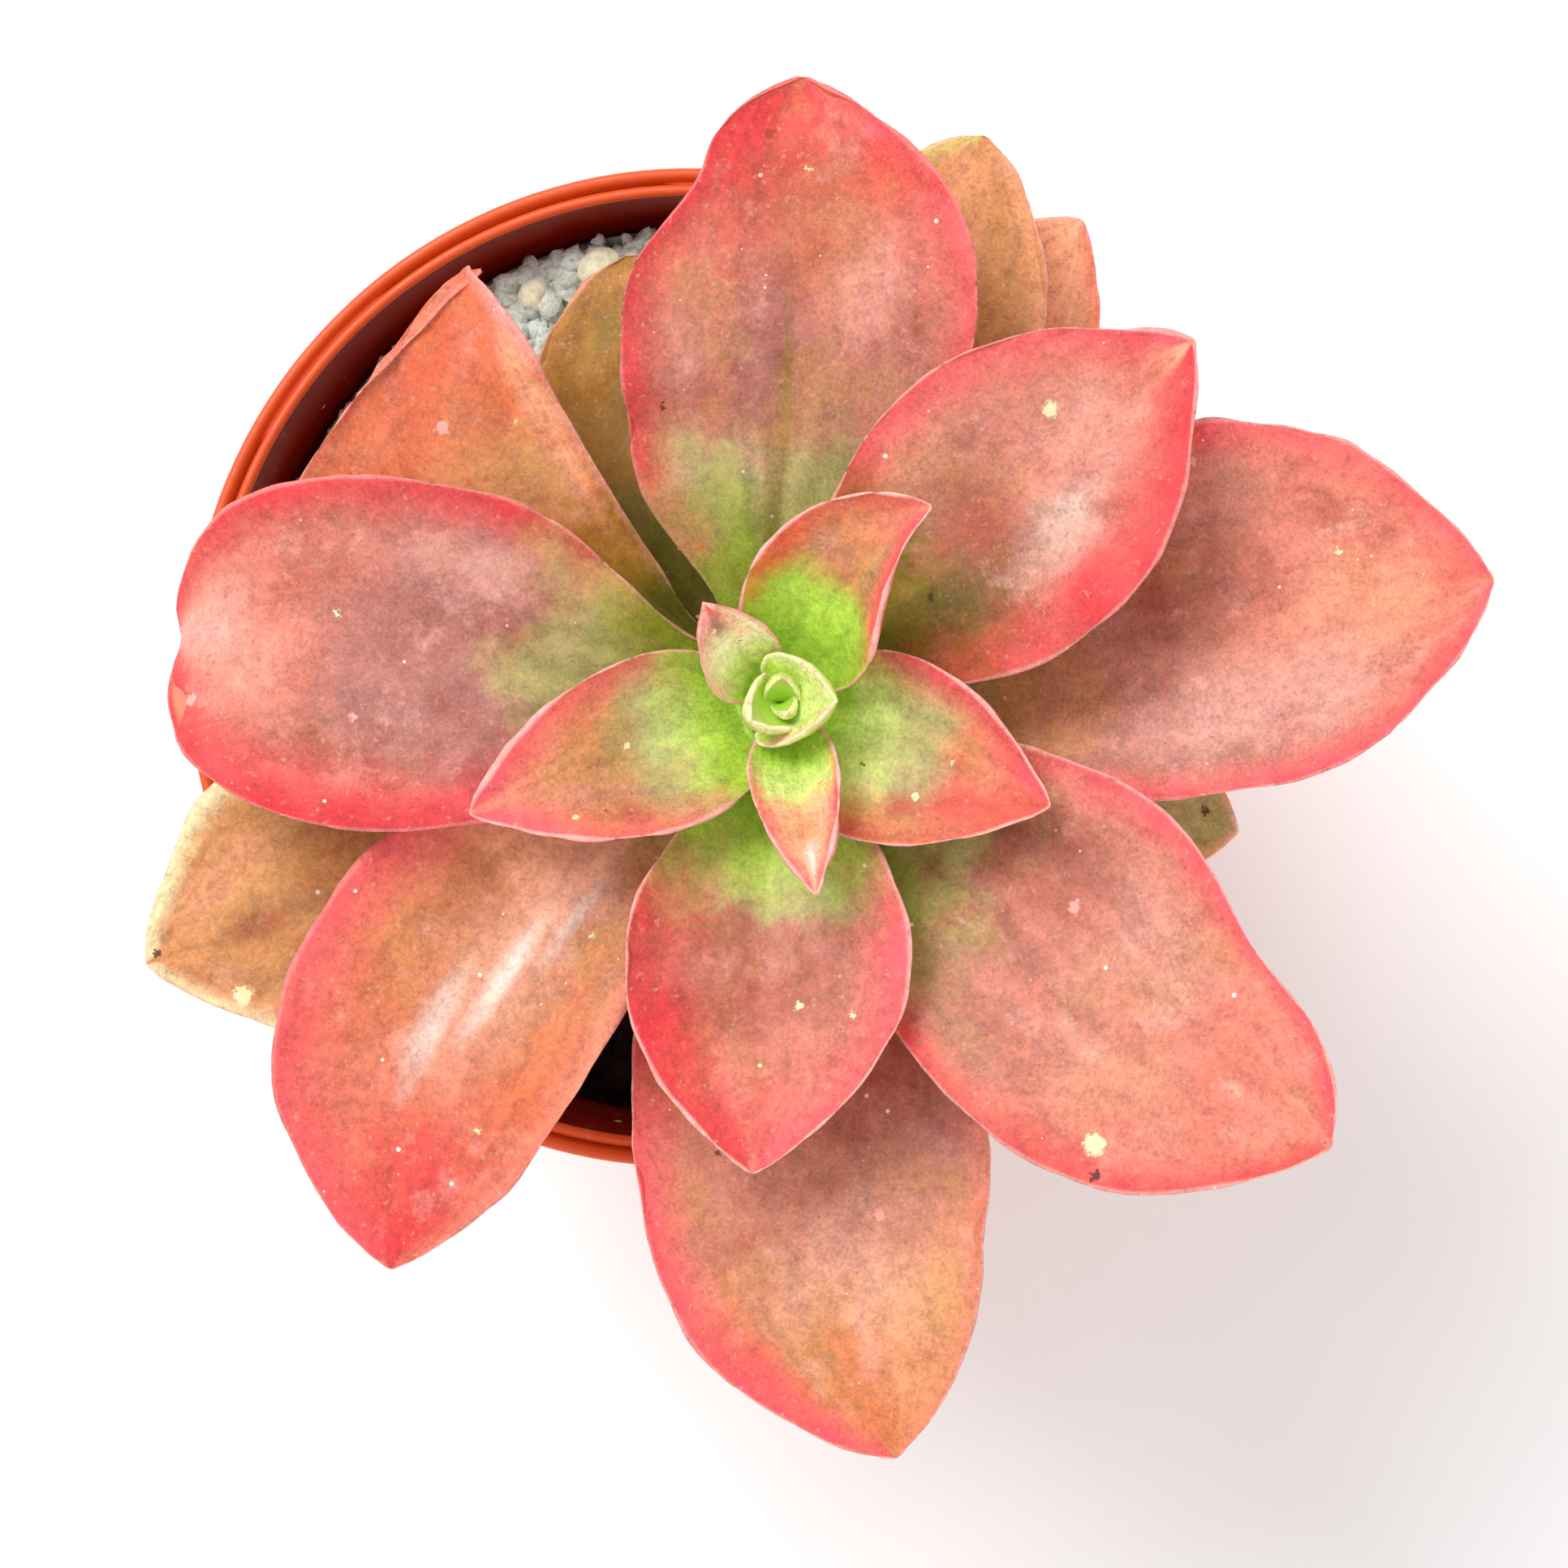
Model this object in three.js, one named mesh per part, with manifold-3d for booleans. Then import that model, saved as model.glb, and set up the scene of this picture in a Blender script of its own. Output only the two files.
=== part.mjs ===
// A potted rosette succulent: a thin plastic nursery pot, potting soil, a pumice top dressing, a short
// stem and the leaves that it carries, each its own solid.
// Millimetres, +Z up. The origin is the centre of the pot's underside.

import * as THREE from "three";
import { mergeVertices } from "three/addons/utils/BufferGeometryUtils.js";
import Module from "manifold-3d";

const wasm = await Module();
wasm.setup();

// ---------------------------------------------------------------- driving dimensions

const CLEARANCE = 0.3; // gap between pieces that rest on, or grow from, one another

const POT = {
  height: 88,
  rimRadius: 52.5, // outside of the lip
  baseRadius: 36,
  wall: 1.1,
  floor: 1.4,
  collarHeight: 11, // the wider band under the lip
  collarStep: 1.3, // how far that band stands out from the wall
  lipWidth: 1.3, // outer bead of the double rim
  beadWidth: 1.2, // inner bead of the double rim
  lipHeight: 1.6,
  grooveWidth: 0.35, // between the two beads
  grooveDepth: 0.7,
  beadDrop: 0.4, // the inner bead sits this far under the lip
  edgeRound: 0.35, // softening of the beads' edges
  footRound: 1.6, // rounding of the corner that the pot stands on
  footWidth: 4, // the flat ring round the edge of the underside
  centreRadius: 18, // the flat disc in the middle of the underside
  channelRise: 3.2, // the ring between those two is lifted this far off the ground
  channelSlope: 1, // run of the channel's sloping sides
  drainCount: 8, // holes through the channel
  drainRadius: 2.6,
  innerCorner: 3, // rounding between the floor and the wall, inside
  sides: 64,
};
const COLLAR_LOW = POT.height - POT.collarHeight;
const CHANNEL_OUTER = POT.baseRadius - POT.footWidth;

const SOIL = {
  belowRim: 19, // headspace left for watering
  corner: 1.2, // rounding of its lower edge
};
const SOIL_TOP = POT.height - SOIL.belowRim;

const DRESSING = {
  depth: 5.5, // thickness of the pumice layer over the pot's axis
  heap: 0.09, // it is piled higher towards +Y: rise for each mm of Y
  edge: -22, // bare soil shows on the -Y side of this line
  ragged: 1.5, // how far that line wanders
  shoulder: 0.9, // rounding of its upper edge
  shoulderStart: 0.65, // share of its depth where that begins
  points: 60,
};

// Heights on the stem are measured from the pot's lip.
const STEM = {
  // radius at each height, from the root tip to the growing point
  profile: [
    [-44, 1.2],
    [-38, 3.6],
    [-28, 5.6],
    [-18, 6.2],
    [0, 5.6],
    [12, 5.0],
    [24, 3.8],
    [31, 2.3],
    [35, 1.2],
    [37, 0.5],
  ],
  point: 0.4, // length of the growing point
  taproot: 1, // length of the root's tip
  foot: [4, -2], // where it stands in the soil, X and Y
  leanStart: -22, // it grows straight up to here, then leans
  lean: [9, -5], // sideways shift of the growing point from the foot, X and Y
  bareTip: 1.6, // length above the youngest leaf's place
  sides: 14,
};
const STEM_LOW = STEM.profile[0][0];
const STEM_TOP = STEM.profile.at(-1)[0];

// Leaves leave the stem on a spiral, the youngest highest. The drop between one leaf and the next
// grows from the tip downwards.
const NODE_DROP = 0.85;
const NODE_DROP_GROWTH = 0.024;

// ---------------------------------------------------------------- leaf shapes

// Half-width along a leaf, as a share of its widest, from the base to the tip.
const OUTLINES = {
  spoon: [
    [0, 0.26],
    [0.15, 0.42],
    [0.3, 0.74],
    [0.45, 0.93],
    [0.6, 1.0],
    [0.72, 0.95],
    [0.82, 0.8],
    [0.9, 0.56],
    [0.96, 0.28],
    [1, 0.045],
  ],
  blade: [
    [0, 0.34],
    [0.15, 0.52],
    [0.35, 0.87],
    [0.5, 1.0],
    [0.65, 0.95],
    [0.8, 0.7],
    [0.9, 0.42],
    [0.96, 0.2],
    [1, 0.045],
  ],
  young: [
    [0, 0.6],
    [0.15, 0.86],
    [0.35, 1.0],
    [0.5, 0.93],
    [0.65, 0.76],
    [0.8, 0.5],
    [0.9, 0.29],
    [0.96, 0.15],
    [1, 0.045],
  ],
};

// Stations along a leaf, closer together towards the tip.
const STATIONS = [0, 0.08, 0.17, 0.27, 0.37, 0.47, 0.57, 0.66, 0.74, 0.81, 0.87, 0.92, 0.96, 1];
const UPPER = [1, 0.68, 0.34, 0, -0.34, -0.68, -1]; // across the upper face, left margin to right
const LOWER = [-0.84, -0.42, 0, 0.42, 0.84]; // back across the lower face
const MIDRIB_STEPS = 60;
const BEND_POWER = 1.5; // a leaf that swings sideways does it mostly towards the tip
const NEAR_FLAT = 0.02; // the least half-angle of a leaf's channel, in radians
const TIP_LENGTH = 0.35;

// A leaf's flesh is at its full thickness in the middle, and thins towards both ends.
const FLESH = {
  base: 0.62, // share of the full thickness at the base
  baseGain: 1.4, // how fast it thickens from there
  tip: 0.28, // share of the full thickness at the tip
  tipGain: 3, // how fast it thickens from there
};

const LEFT = 1; // a margin's side, seen from the stem
const RIGHT = -1;

// The leaves, youngest first, in the order of the spiral.
//   azimuth   compass of the base, anticlockwise from +X, in degrees
//   length    along the midrib
//   width     right and left halves, seen from the stem
//   rise      slope of the midrib at equal steps from base to tip, in degrees above level
//   cup       half-angle of the channel across the leaf, base and tip, in degrees
//   bend      how far the tip swings anticlockwise, in degrees
//   waves     swells of one margin: its side, the place along it, their span and how far they stand out
//   skip      places on the spiral left empty above this leaf
const LEAVES = [
  {
    name: "core_leaf_4",
    azimuth: 300,
    length: 3.2,
    width: [1.1, 1.1],
    thick: 0.8,
    rise: [80, 88],
    cup: [45, 40],
    shape: "young",
  },
  {
    name: "core_leaf_3",
    azimuth: 85,
    length: 4.8,
    width: [1.6, 1.6],
    thick: 0.9,
    rise: [78, 86],
    cup: [50, 45],
    shape: "young",
  },
  {
    name: "core_leaf_2",
    azimuth: 220,
    length: 6.5,
    width: [2.8, 2.8],
    thick: 1.1,
    rise: [76, 84],
    cup: [60, 45],
    shape: "young",
  },
  {
    name: "core_leaf_1",
    azimuth: 355,
    length: 8.5,
    width: [4, 4],
    thick: 1.3,
    rise: [78, 76, 60],
    cup: [62, 30],
    shape: "young",
  },
  {
    name: "young_leaf_1",
    azimuth: 128,
    length: 11.5,
    width: [3.8, 5.2],
    thick: 1.7,
    rise: [62, 50, 38],
    cup: [65, 20],
    shape: "young",
  },
  {
    name: "young_leaf_2",
    azimuth: 282,
    length: 20,
    width: [5, 5],
    thick: 1.8,
    rise: [62, 40, 22],
    cup: [70, 25],
    shape: "young",
  },
  {
    name: "young_leaf_3",
    azimuth: 72,
    length: 27,
    width: [9, 7.5],
    thick: 2,
    rise: [56, 45, 30],
    bend: -65,
    cup: [65, 30],
    shape: "young",
  },
  {
    name: "young_leaf_4",
    azimuth: 201,
    length: 29,
    width: [9.5, 9.5],
    thick: 2.2,
    rise: [56, 28, 15, 5],
    cup: [60, 15],
    shape: "young",
  },
  {
    name: "young_leaf_5",
    azimuth: 338,
    length: 26,
    width: [11, 9.5],
    thick: 2.2,
    rise: [58, 30, 16, 5],
    cup: [60, 15],
    shape: "young",
  },
  {
    name: "inner_leaf_1",
    skip: 1, // the leaf before it on the spiral is gone
    azimuth: 268,
    length: 42,
    width: [13.5, 15],
    thick: 3.1,
    rise: [46, 20, 12, 5],
    cup: [50, 12],
    shape: "blade",
  },
  {
    name: "inner_leaf_2",
    azimuth: 39,
    length: 49,
    width: [16, 14.5],
    thick: 3.3,
    rise: [48, 22, 14, 8],
    cup: [50, 12],
    shape: "blade",
  },
  {
    name: "outer_leaf_1",
    azimuth: 174,
    length: 58,
    width: [17.5, 18],
    thick: 3.6,
    rise: [48, 20, 12, 8, 0, -80],
    waves: [{ side: RIGHT, at: 0.34, span: 0.16, out: 2 }],
    cup: [36, 25],
    shape: "spoon",
  },
  {
    name: "outer_leaf_2",
    azimuth: 321,
    length: 65,
    width: [19.5, 16],
    thick: 3.6,
    rise: [40, 20, 12, 5],
    waves: [{ side: LEFT, at: 0.75, span: 0.14, out: -5 }],
    cup: [26, 10],
    shape: "spoon",
  },
  {
    name: "outer_leaf_3",
    azimuth: 86,
    length: 56,
    width: [19, 16.5],
    thick: 3.6,
    rise: [44, 20, 12, 5],
    waves: [
      { side: LEFT, at: 0.8, span: 0.08, out: -5 },
      { side: LEFT, at: 0.28, span: 0.12, out: 2.2 },
    ],
    cup: [32, 12],
    shape: "spoon",
  },
  {
    name: "outer_leaf_4",
    azimuth: 227,
    length: 62.5,
    width: [20.5, 10.5],
    thick: 3.6,
    rise: [42, 18, 10, 0],
    bend: 28,
    cup: [28, 10],
    shape: "spoon",
  },
  {
    name: "outer_leaf_5",
    azimuth: 8,
    length: 67,
    width: [17, 19.5],
    thick: 3.6,
    rise: [40, 16, 10, 2],
    cup: [30, 8],
    shape: "spoon",
  },
  {
    name: "outer_leaf_6",
    azimuth: 143,
    length: 49,
    width: [6.5, 28],
    thick: 3.4,
    rise: [34, 16, 6, -4],
    bend: -50,
    waves: [{ side: LEFT, at: 0.86, span: 0.14, out: -13 }],
    cup: [28, 20],
    shape: "spoon",
  },
  {
    name: "outer_leaf_7",
    azimuth: 275,
    length: 71,
    width: [18, 18],
    thick: 3.6,
    rise: [32, 14, 6, -2],
    bend: 15,
    waves: [{ side: LEFT, at: 0.78, span: 0.1, out: -2 }],
    cup: [28, 8],
    shape: "spoon",
  },
  {
    name: "old_leaf_1",
    azimuth: 67,
    length: 55,
    width: [14, 12],
    thick: 3,
    rise: [30, 14, 6, -2],
    cup: [24, 8],
    shape: "spoon",
  },
  {
    name: "old_leaf_2",
    azimuth: 204,
    length: 61,
    width: [16, 16],
    thick: 3,
    rise: [28, 12, 4, -6],
    cup: [24, 8],
    shape: "spoon",
  },
  {
    name: "old_leaf_3",
    azimuth: 344,
    length: 45,
    width: [12, 12],
    thick: 2.8,
    rise: [24, 10, 0, -6],
    cup: [24, 8],
    shape: "spoon",
  },
  {
    name: "old_leaf_4",
    azimuth: 106,
    length: 43,
    width: [14, 14],
    thick: 2.8,
    rise: [12, 0, -6, -10],
    cup: [24, 8],
    shape: "spoon",
  },
  {
    name: "old_leaf_5",
    azimuth: 54,
    length: 53,
    width: [12, 12],
    thick: 2.8,
    rise: [24, 10, 4, 0],
    cup: [24, 8],
    shape: "spoon",
  },
];

// Loose stones on the dressing: centre X and Y, and radii.
// Loose stones on the dressing: compass from the pot's axis, gap to the wall, half sizes and turn.
const PEBBLES = [
  { name: "pale_pebble_1", azimuth: 102.3, fromWall: 1.8, size: [2.8, 2.5, 1.9], turn: 19 },
  { name: "pale_pebble_2", azimuth: 112.5, fromWall: 2.8, size: [2, 1.7, 1.4], turn: 65 },
];

// ---------------------------------------------------------------- helpers

const rad = THREE.MathUtils.degToRad;
const mix = THREE.MathUtils.lerp;

/** Smooth curve through [x, y] points with rising x: a cubic with slopes that never overshoot. */
function smoothThrough(points) {
  const step = points.slice(1).map((p, i) => (p[1] - points[i][1]) / (p[0] - points[i][0]));
  const slope = points.map((_, i) => {
    if (i === 0) return step[0];
    if (i === points.length - 1) return step[i - 1];
    const [a, b] = [step[i - 1], step[i]];
    return a * b <= 0 ? 0 : (2 * a * b) / (a + b);
  });
  return (x) => {
    const later = points.slice(1, -1).filter((p) => p[0] <= x);
    const i = later.length;
    const [x0, y0] = points[i];
    const [x1, y1] = points[i + 1];
    const h = x1 - x0;
    const t = THREE.MathUtils.clamp((x - x0) / h, 0, 1);
    return (
      y0 * (1 + 2 * t) * (1 - t) ** 2 +
      slope[i] * h * t * (1 - t) ** 2 +
      y1 * t * t * (3 - 2 * t) +
      slope[i + 1] * h * t * t * (t - 1)
    );
  };
}

/** A closed solid through rings of equal length, from a start point to an end point. */
function loft(start, rings, end) {
  const count = rings[0].length;
  const points = [start, ...rings.flat(), end];
  const last = points.length - 1;
  const faces = [];
  const at = (ring, i) => 1 + ring * count + (i % count);
  for (let i = 0; i < count; i++) {
    faces.push(0, at(0, i + 1), at(0, i));
    for (let r = 0; r < rings.length - 1; r++) {
      faces.push(at(r, i), at(r, i + 1), at(r + 1, i));
      faces.push(at(r, i + 1), at(r + 1, i + 1), at(r + 1, i));
    }
    faces.push(at(rings.length - 1, i), at(rings.length - 1, i + 1), last);
  }
  const geometry = new THREE.BufferGeometry();
  geometry.setAttribute(
    "position",
    new THREE.Float32BufferAttribute(
      points.flatMap((p) => p.toArray()),
      3,
    ),
  );
  geometry.setIndex(faces);
  geometry.computeVertexNormals();
  return geometry;
}

/** A three.js geometry as a manifold-3d solid. */
function solidFrom(geometry) {
  const bare = geometry.clone();
  bare.deleteAttribute("normal");
  bare.deleteAttribute("uv");
  const merged = mergeVertices(bare, 1e-3);
  return new wasm.Manifold(
    new wasm.Mesh({
      numProp: 3,
      vertProperties: merged.attributes.position.array,
      triVerts: new Uint32Array(merged.index.array),
    }),
  );
}

/** A manifold-3d solid as a three.js geometry. */
function geometryFrom(solid) {
  const mesh = solid.getMesh();
  const geometry = new THREE.BufferGeometry();
  geometry.setAttribute("position", new THREE.BufferAttribute(mesh.vertProperties, 3));
  geometry.setIndex(new THREE.BufferAttribute(mesh.triVerts, 1));
  geometry.computeVertexNormals();
  return geometry;
}

/** A solid of revolution about +Z from [radius, height] points that start and end on the axis. */
function turned(profile, sides) {
  return new THREE.LatheGeometry(
    profile.map(([r, z]) => new THREE.Vector2(r, z)),
    sides,
  ).rotateX(Math.PI / 2);
}

/** An upright cylinder between two heights, for cutting. */
function plug(radius, low, high, sides) {
  return new THREE.CylinderGeometry(radius, radius, high - low, sides)
    .rotateX(Math.PI / 2)
    .translate(0, 0, (low + high) / 2);
}

// ---------------------------------------------------------------- pot

const WALL_TOP_RADIUS = POT.rimRadius - POT.lipWidth / 2 - POT.collarStep;

/** Radius of the tapered wall's outside at a height. */
const wallOuter = (z) => mix(POT.baseRadius, WALL_TOP_RADIUS, z / COLLAR_LOW);
const wallInner = (z) => wallOuter(z) - POT.wall;

// The inside steps out to the collar over this height.
const STEP_HEIGHT = 1.5;
const SLOPE_HEIGHT = 0.6; // the outside does over this one

function potGeometry() {
  const collarOuter = WALL_TOP_RADIUS + POT.collarStep;
  const channelIn = POT.centreRadius + POT.channelSlope;
  const channelOut = CHANNEL_OUTER - POT.channelSlope;
  const lipLow = POT.height - POT.lipHeight;
  const lipInner = POT.rimRadius - POT.lipWidth;
  const beadOuter = lipInner - POT.grooveWidth;
  const beadInner = beadOuter - POT.beadWidth;
  const beadTop = POT.height - POT.beadDrop;
  const grooveLow = POT.height - POT.grooveDepth;
  const round = POT.edgeRound;
  const foot = POT.footRound;
  const outside = [
    [0, 0],
    [POT.centreRadius, 0],
    [channelIn, POT.channelRise],
    [channelOut, POT.channelRise],
    [CHANNEL_OUTER, 0],
    [POT.baseRadius - foot, 0],
    [wallOuter(foot / 4) - foot / 4, foot / 4],
    [wallOuter(foot), foot],
    [WALL_TOP_RADIUS, COLLAR_LOW],
    [collarOuter, COLLAR_LOW + SLOPE_HEIGHT],
    [collarOuter, lipLow - round],
    [POT.rimRadius, lipLow],
    [POT.rimRadius, POT.height - round],
    [POT.rimRadius - round, POT.height],
    [lipInner + round / 2, POT.height],
    [lipInner, POT.height - round / 2],
  ];
  const inside = [
    [lipInner, grooveLow],
    [beadOuter, grooveLow],
    [beadOuter, beadTop - round / 2],
    [beadOuter - round / 2, beadTop],
    [beadInner + round, beadTop],
    [beadInner, beadTop - round],
    [beadInner, COLLAR_LOW],
    [wallInner(COLLAR_LOW - STEP_HEIGHT), COLLAR_LOW - STEP_HEIGHT],
    [wallInner(POT.innerCorner + POT.floor), POT.innerCorner + POT.floor],
    [CHANNEL_OUTER, POT.floor],
    [channelOut, POT.channelRise + POT.floor],
    [channelIn, POT.channelRise + POT.floor],
    [POT.centreRadius, POT.floor],
    [0, POT.floor],
  ];
  const drainRing = (POT.centreRadius + CHANNEL_OUTER) / 2;
  let solid = solidFrom(turned([...outside, ...inside], POT.sides));
  for (let i = 0; i < POT.drainCount; i++) {
    const angle = (i * 2 * Math.PI) / POT.drainCount;
    const hole = plug(POT.drainRadius, -POT.floor, POT.channelRise + 2 * POT.floor, 14);
    hole.translate(drainRing * Math.cos(angle), drainRing * Math.sin(angle), 0);
    solid = solid.subtract(solidFrom(hole));
  }
  return geometryFrom(solid);
}

// ---------------------------------------------------------------- soil and dressing

/** Radius of the room inside the pot at a height. */
const innerWallAt = (z) => wallInner(Math.min(z, COLLAR_LOW - STEP_HEIGHT));

function soilGeometry(stem) {
  const floorTop = POT.channelRise + POT.floor + CLEARANCE;
  const profile = [
    [0, floorTop],
    [CHANNEL_OUTER - POT.channelSlope, floorTop],
    [innerWallAt(floorTop) - CLEARANCE - SOIL.corner / 2, floorTop + SOIL.corner],
    [innerWallAt(SOIL_TOP) - CLEARANCE, SOIL_TOP],
    [0, SOIL_TOP],
  ];
  return geometryFrom(solidFrom(turned(profile, POT.sides / 2)).subtract(stem));
}

const DRESSING_LOW = SOIL_TOP + CLEARANCE;

/** Height of the dressing's surface at a place in Y. */
const dressingTop = (y) => DRESSING_LOW + DRESSING.depth + DRESSING.heap * y;

function dressingGeometry(stem) {
  const low = DRESSING_LOW;
  const outline = (share, inset) =>
    Array.from({ length: DRESSING.points }, (_, i) => {
      const angle = (i * 2 * Math.PI) / DRESSING.points;
      const beside = innerWallAt(mix(low, dressingTop(innerWallAt(low) * Math.sin(angle)), share));
      const wall = beside - CLEARANCE - inset;
      const edge = DRESSING.edge + inset + DRESSING.ragged * Math.sin(7 * angle);
      const y = Math.max(wall * Math.sin(angle), edge);
      const reach = Math.sqrt(wall * wall - y * y);
      const x = THREE.MathUtils.clamp(wall * Math.cos(angle), -reach, reach);
      return new THREE.Vector3(x, y, mix(low, dressingTop(y), share));
    });
  const rings = [outline(0, 0), outline(DRESSING.shoulderStart, 0), outline(1, DRESSING.shoulder)];
  const body = loft(new THREE.Vector3(0, 0, low), rings, new THREE.Vector3(0, 0, dressingTop(0)));
  return geometryFrom(solidFrom(body).subtract(stem));
}

/** A rounded stone with flattened facets, resting on the dressing. */
function pebbleGeometry({ azimuth, fromWall, size, turn }) {
  const radius = innerWallAt(SOIL_TOP + DRESSING.depth) - fromWall - size[0];
  const x = radius * Math.cos(rad(azimuth));
  const y = radius * Math.sin(rad(azimuth));
  const stone = new THREE.IcosahedronGeometry(1, 1).scale(...size).rotateZ(rad(turn));
  return stone.translate(x, y, dressingTop(y) + CLEARANCE + size[2]);
}

// ---------------------------------------------------------------- stem

const stemRadius = smoothThrough(STEM.profile);

/** Centre of the stem at a height above the pot's lip. */
function stemCentre(height) {
  const share = THREE.MathUtils.smoothstep(height, STEM.leanStart, STEM_TOP);
  const x = STEM.foot[0] + STEM.lean[0] * share;
  const y = STEM.foot[1] + STEM.lean[1] * share;
  return new THREE.Vector3(x, y, POT.height + height);
}

/** The stem, or with a margin the room that it needs in the soil. */
function stemGeometry(margin = 0) {
  const rings = STEM.profile.map(([height, radius]) =>
    Array.from({ length: STEM.sides }, (_, i) => {
      const angle = (i * 2 * Math.PI) / STEM.sides;
      const r = radius + margin;
      return stemCentre(height).add(new THREE.Vector3(r * Math.cos(angle), r * Math.sin(angle), 0));
    }),
  );
  const root = stemCentre(STEM_LOW - STEM.taproot - margin);
  const tip = stemCentre(STEM_TOP).add(new THREE.Vector3(0, 0, STEM.point + margin));
  return loft(root, rings, tip);
}

// ---------------------------------------------------------------- leaves

/** Height on the stem of a place on the spiral, counted from the youngest leaf. */
const spiralHeight = (k) => STEM_TOP - STEM.bareTip - k * NODE_DROP - k * k * NODE_DROP_GROWTH;

/** Points and directions along a leaf's midrib. */
function midrib(leaf, height) {
  const { azimuth, length, rise, bend = 0 } = leaf;
  const slopeAt = smoothThrough(rise.map((degrees, i) => [i / (rise.length - 1), degrees]));
  const out = new THREE.Vector3(Math.cos(rad(azimuth)), Math.sin(rad(azimuth)), 0);
  const reach = stemRadius(height) + CLEARANCE + (leaf.thick / 2) * Math.sin(rad(rise[0]));
  const point = stemCentre(height).addScaledVector(out, reach);
  const samples = [];
  for (let i = 0; i <= MIDRIB_STEPS; i++) {
    const s = i / MIDRIB_STEPS;
    const heading = rad(azimuth + bend * s ** BEND_POWER);
    const slope = rad(slopeAt(s));
    const along = new THREE.Vector3(
      Math.cos(slope) * Math.cos(heading),
      Math.cos(slope) * Math.sin(heading),
      Math.sin(slope),
    );
    if (i) point.addScaledVector(along, length / MIDRIB_STEPS);
    const left = new THREE.Vector3(-Math.sin(heading), Math.cos(heading), 0);
    samples.push({ point: point.clone(), along, left });
  }
  return samples;
}

/** How far the swells of a margin push a point outwards, at a share s along and t across. */
function swellAt(waves, s, t) {
  const near = waves.filter((wave) => wave.side * t > 0);
  return near.reduce((sum, { at, span, out }) => sum + out * t * t * Math.exp(-(((s - at) / span) ** 2)), 0);
}

function leafGeometry(leaf, height) {
  const { width, thick, cup, waves = [] } = leaf;
  const [rightHalf, leftHalf] = width;
  const outline = smoothThrough(OUTLINES[leaf.shape]);
  const rib = midrib(leaf, height);
  const rings = STATIONS.map((s) => {
    const { point, along, left } = rib[Math.round(s * MIDRIB_STEPS)];
    const up = along.clone().cross(left);
    const arc = Math.max(NEAR_FLAT, rad(mix(cup[0], cup[1], s)));
    const fromBase = Math.min(1, FLESH.base + FLESH.baseGain * s);
    const fromTip = Math.min(1, FLESH.tip + FLESH.tipGain * (1 - s));
    const onFace = (t, depth) => {
      const half = outline(s) * (t < 0 ? rightHalf : leftHalf) + swellAt(waves, s, t);
      const radius = half / arc;
      const angle = arc * t;
      const across = (radius + depth) * Math.sin(angle);
      const raise = radius - (radius + depth) * Math.cos(angle);
      return point.clone().addScaledVector(left, across).addScaledVector(up, raise);
    };
    const flesh = (t) => thick * fromBase * fromTip * Math.sqrt(1 - t * t);
    return [...UPPER.map((t) => onFace(t, 0)), ...LOWER.map((t) => onFace(t, flesh(t)))];
  });
  const middle = (ring) =>
    ring.reduce((sum, p) => sum.add(p), new THREE.Vector3()).divideScalar(ring.length);
  const end = middle(rings.at(-1)).addScaledVector(rib.at(-1).along, TIP_LENGTH);
  return loft(middle(rings[0]), rings, end);
}

// ---------------------------------------------------------------- assembly

const COLOURS = {
  pot: { color: 0xc8481c, roughness: 0.45 },
  soil: { color: 0x2a1c12, roughness: 1 },
  dressing: { color: 0xdfe2da, roughness: 0.95 },
  pebble: { color: 0xf3f0d8, roughness: 0.9 },
  stem: { color: 0x8b7a55, roughness: 0.85 },
  core: { color: 0xa3c850, roughness: 0.5 },
  young: { color: 0xb98c66, roughness: 0.5 },
  inner: { color: 0xc2736a, roughness: 0.5 },
  outer: { color: 0xc06a58, roughness: 0.5 },
  old: { color: 0xc98a4c, roughness: 0.55 },
};

const object = new THREE.Group();

function add(name, geometry, colour) {
  const material = new THREE.MeshStandardMaterial({ ...COLOURS[colour], metalness: 0 });
  const mesh = new THREE.Mesh(geometry, material);
  mesh.name = name;
  object.add(mesh);
}

const stemRoom = solidFrom(stemGeometry(CLEARANCE));
add("pot", potGeometry(), "pot");
add("soil", soilGeometry(stemRoom), "soil");
add("pumice_dressing", dressingGeometry(stemRoom), "dressing");
for (const pebble of PEBBLES) add(pebble.name, pebbleGeometry(pebble), "pebble");
add("stem", stemGeometry(), "stem");

let place = 0;
for (const leaf of LEAVES) {
  place += 1 + (leaf.skip ?? 0);
  add(leaf.name, leafGeometry(leaf, spiralHeight(place)), leaf.name.split("_")[0]);
}

export default object;
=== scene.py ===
import math
import random
from dataclasses import dataclass

import bmesh
import bpy
import numpy as np
from bpy.props import FloatProperty, FloatVectorProperty, IntProperty, PointerProperty
from mathutils import Matrix, Vector
from mathutils.bvhtree import BVHTree


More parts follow.
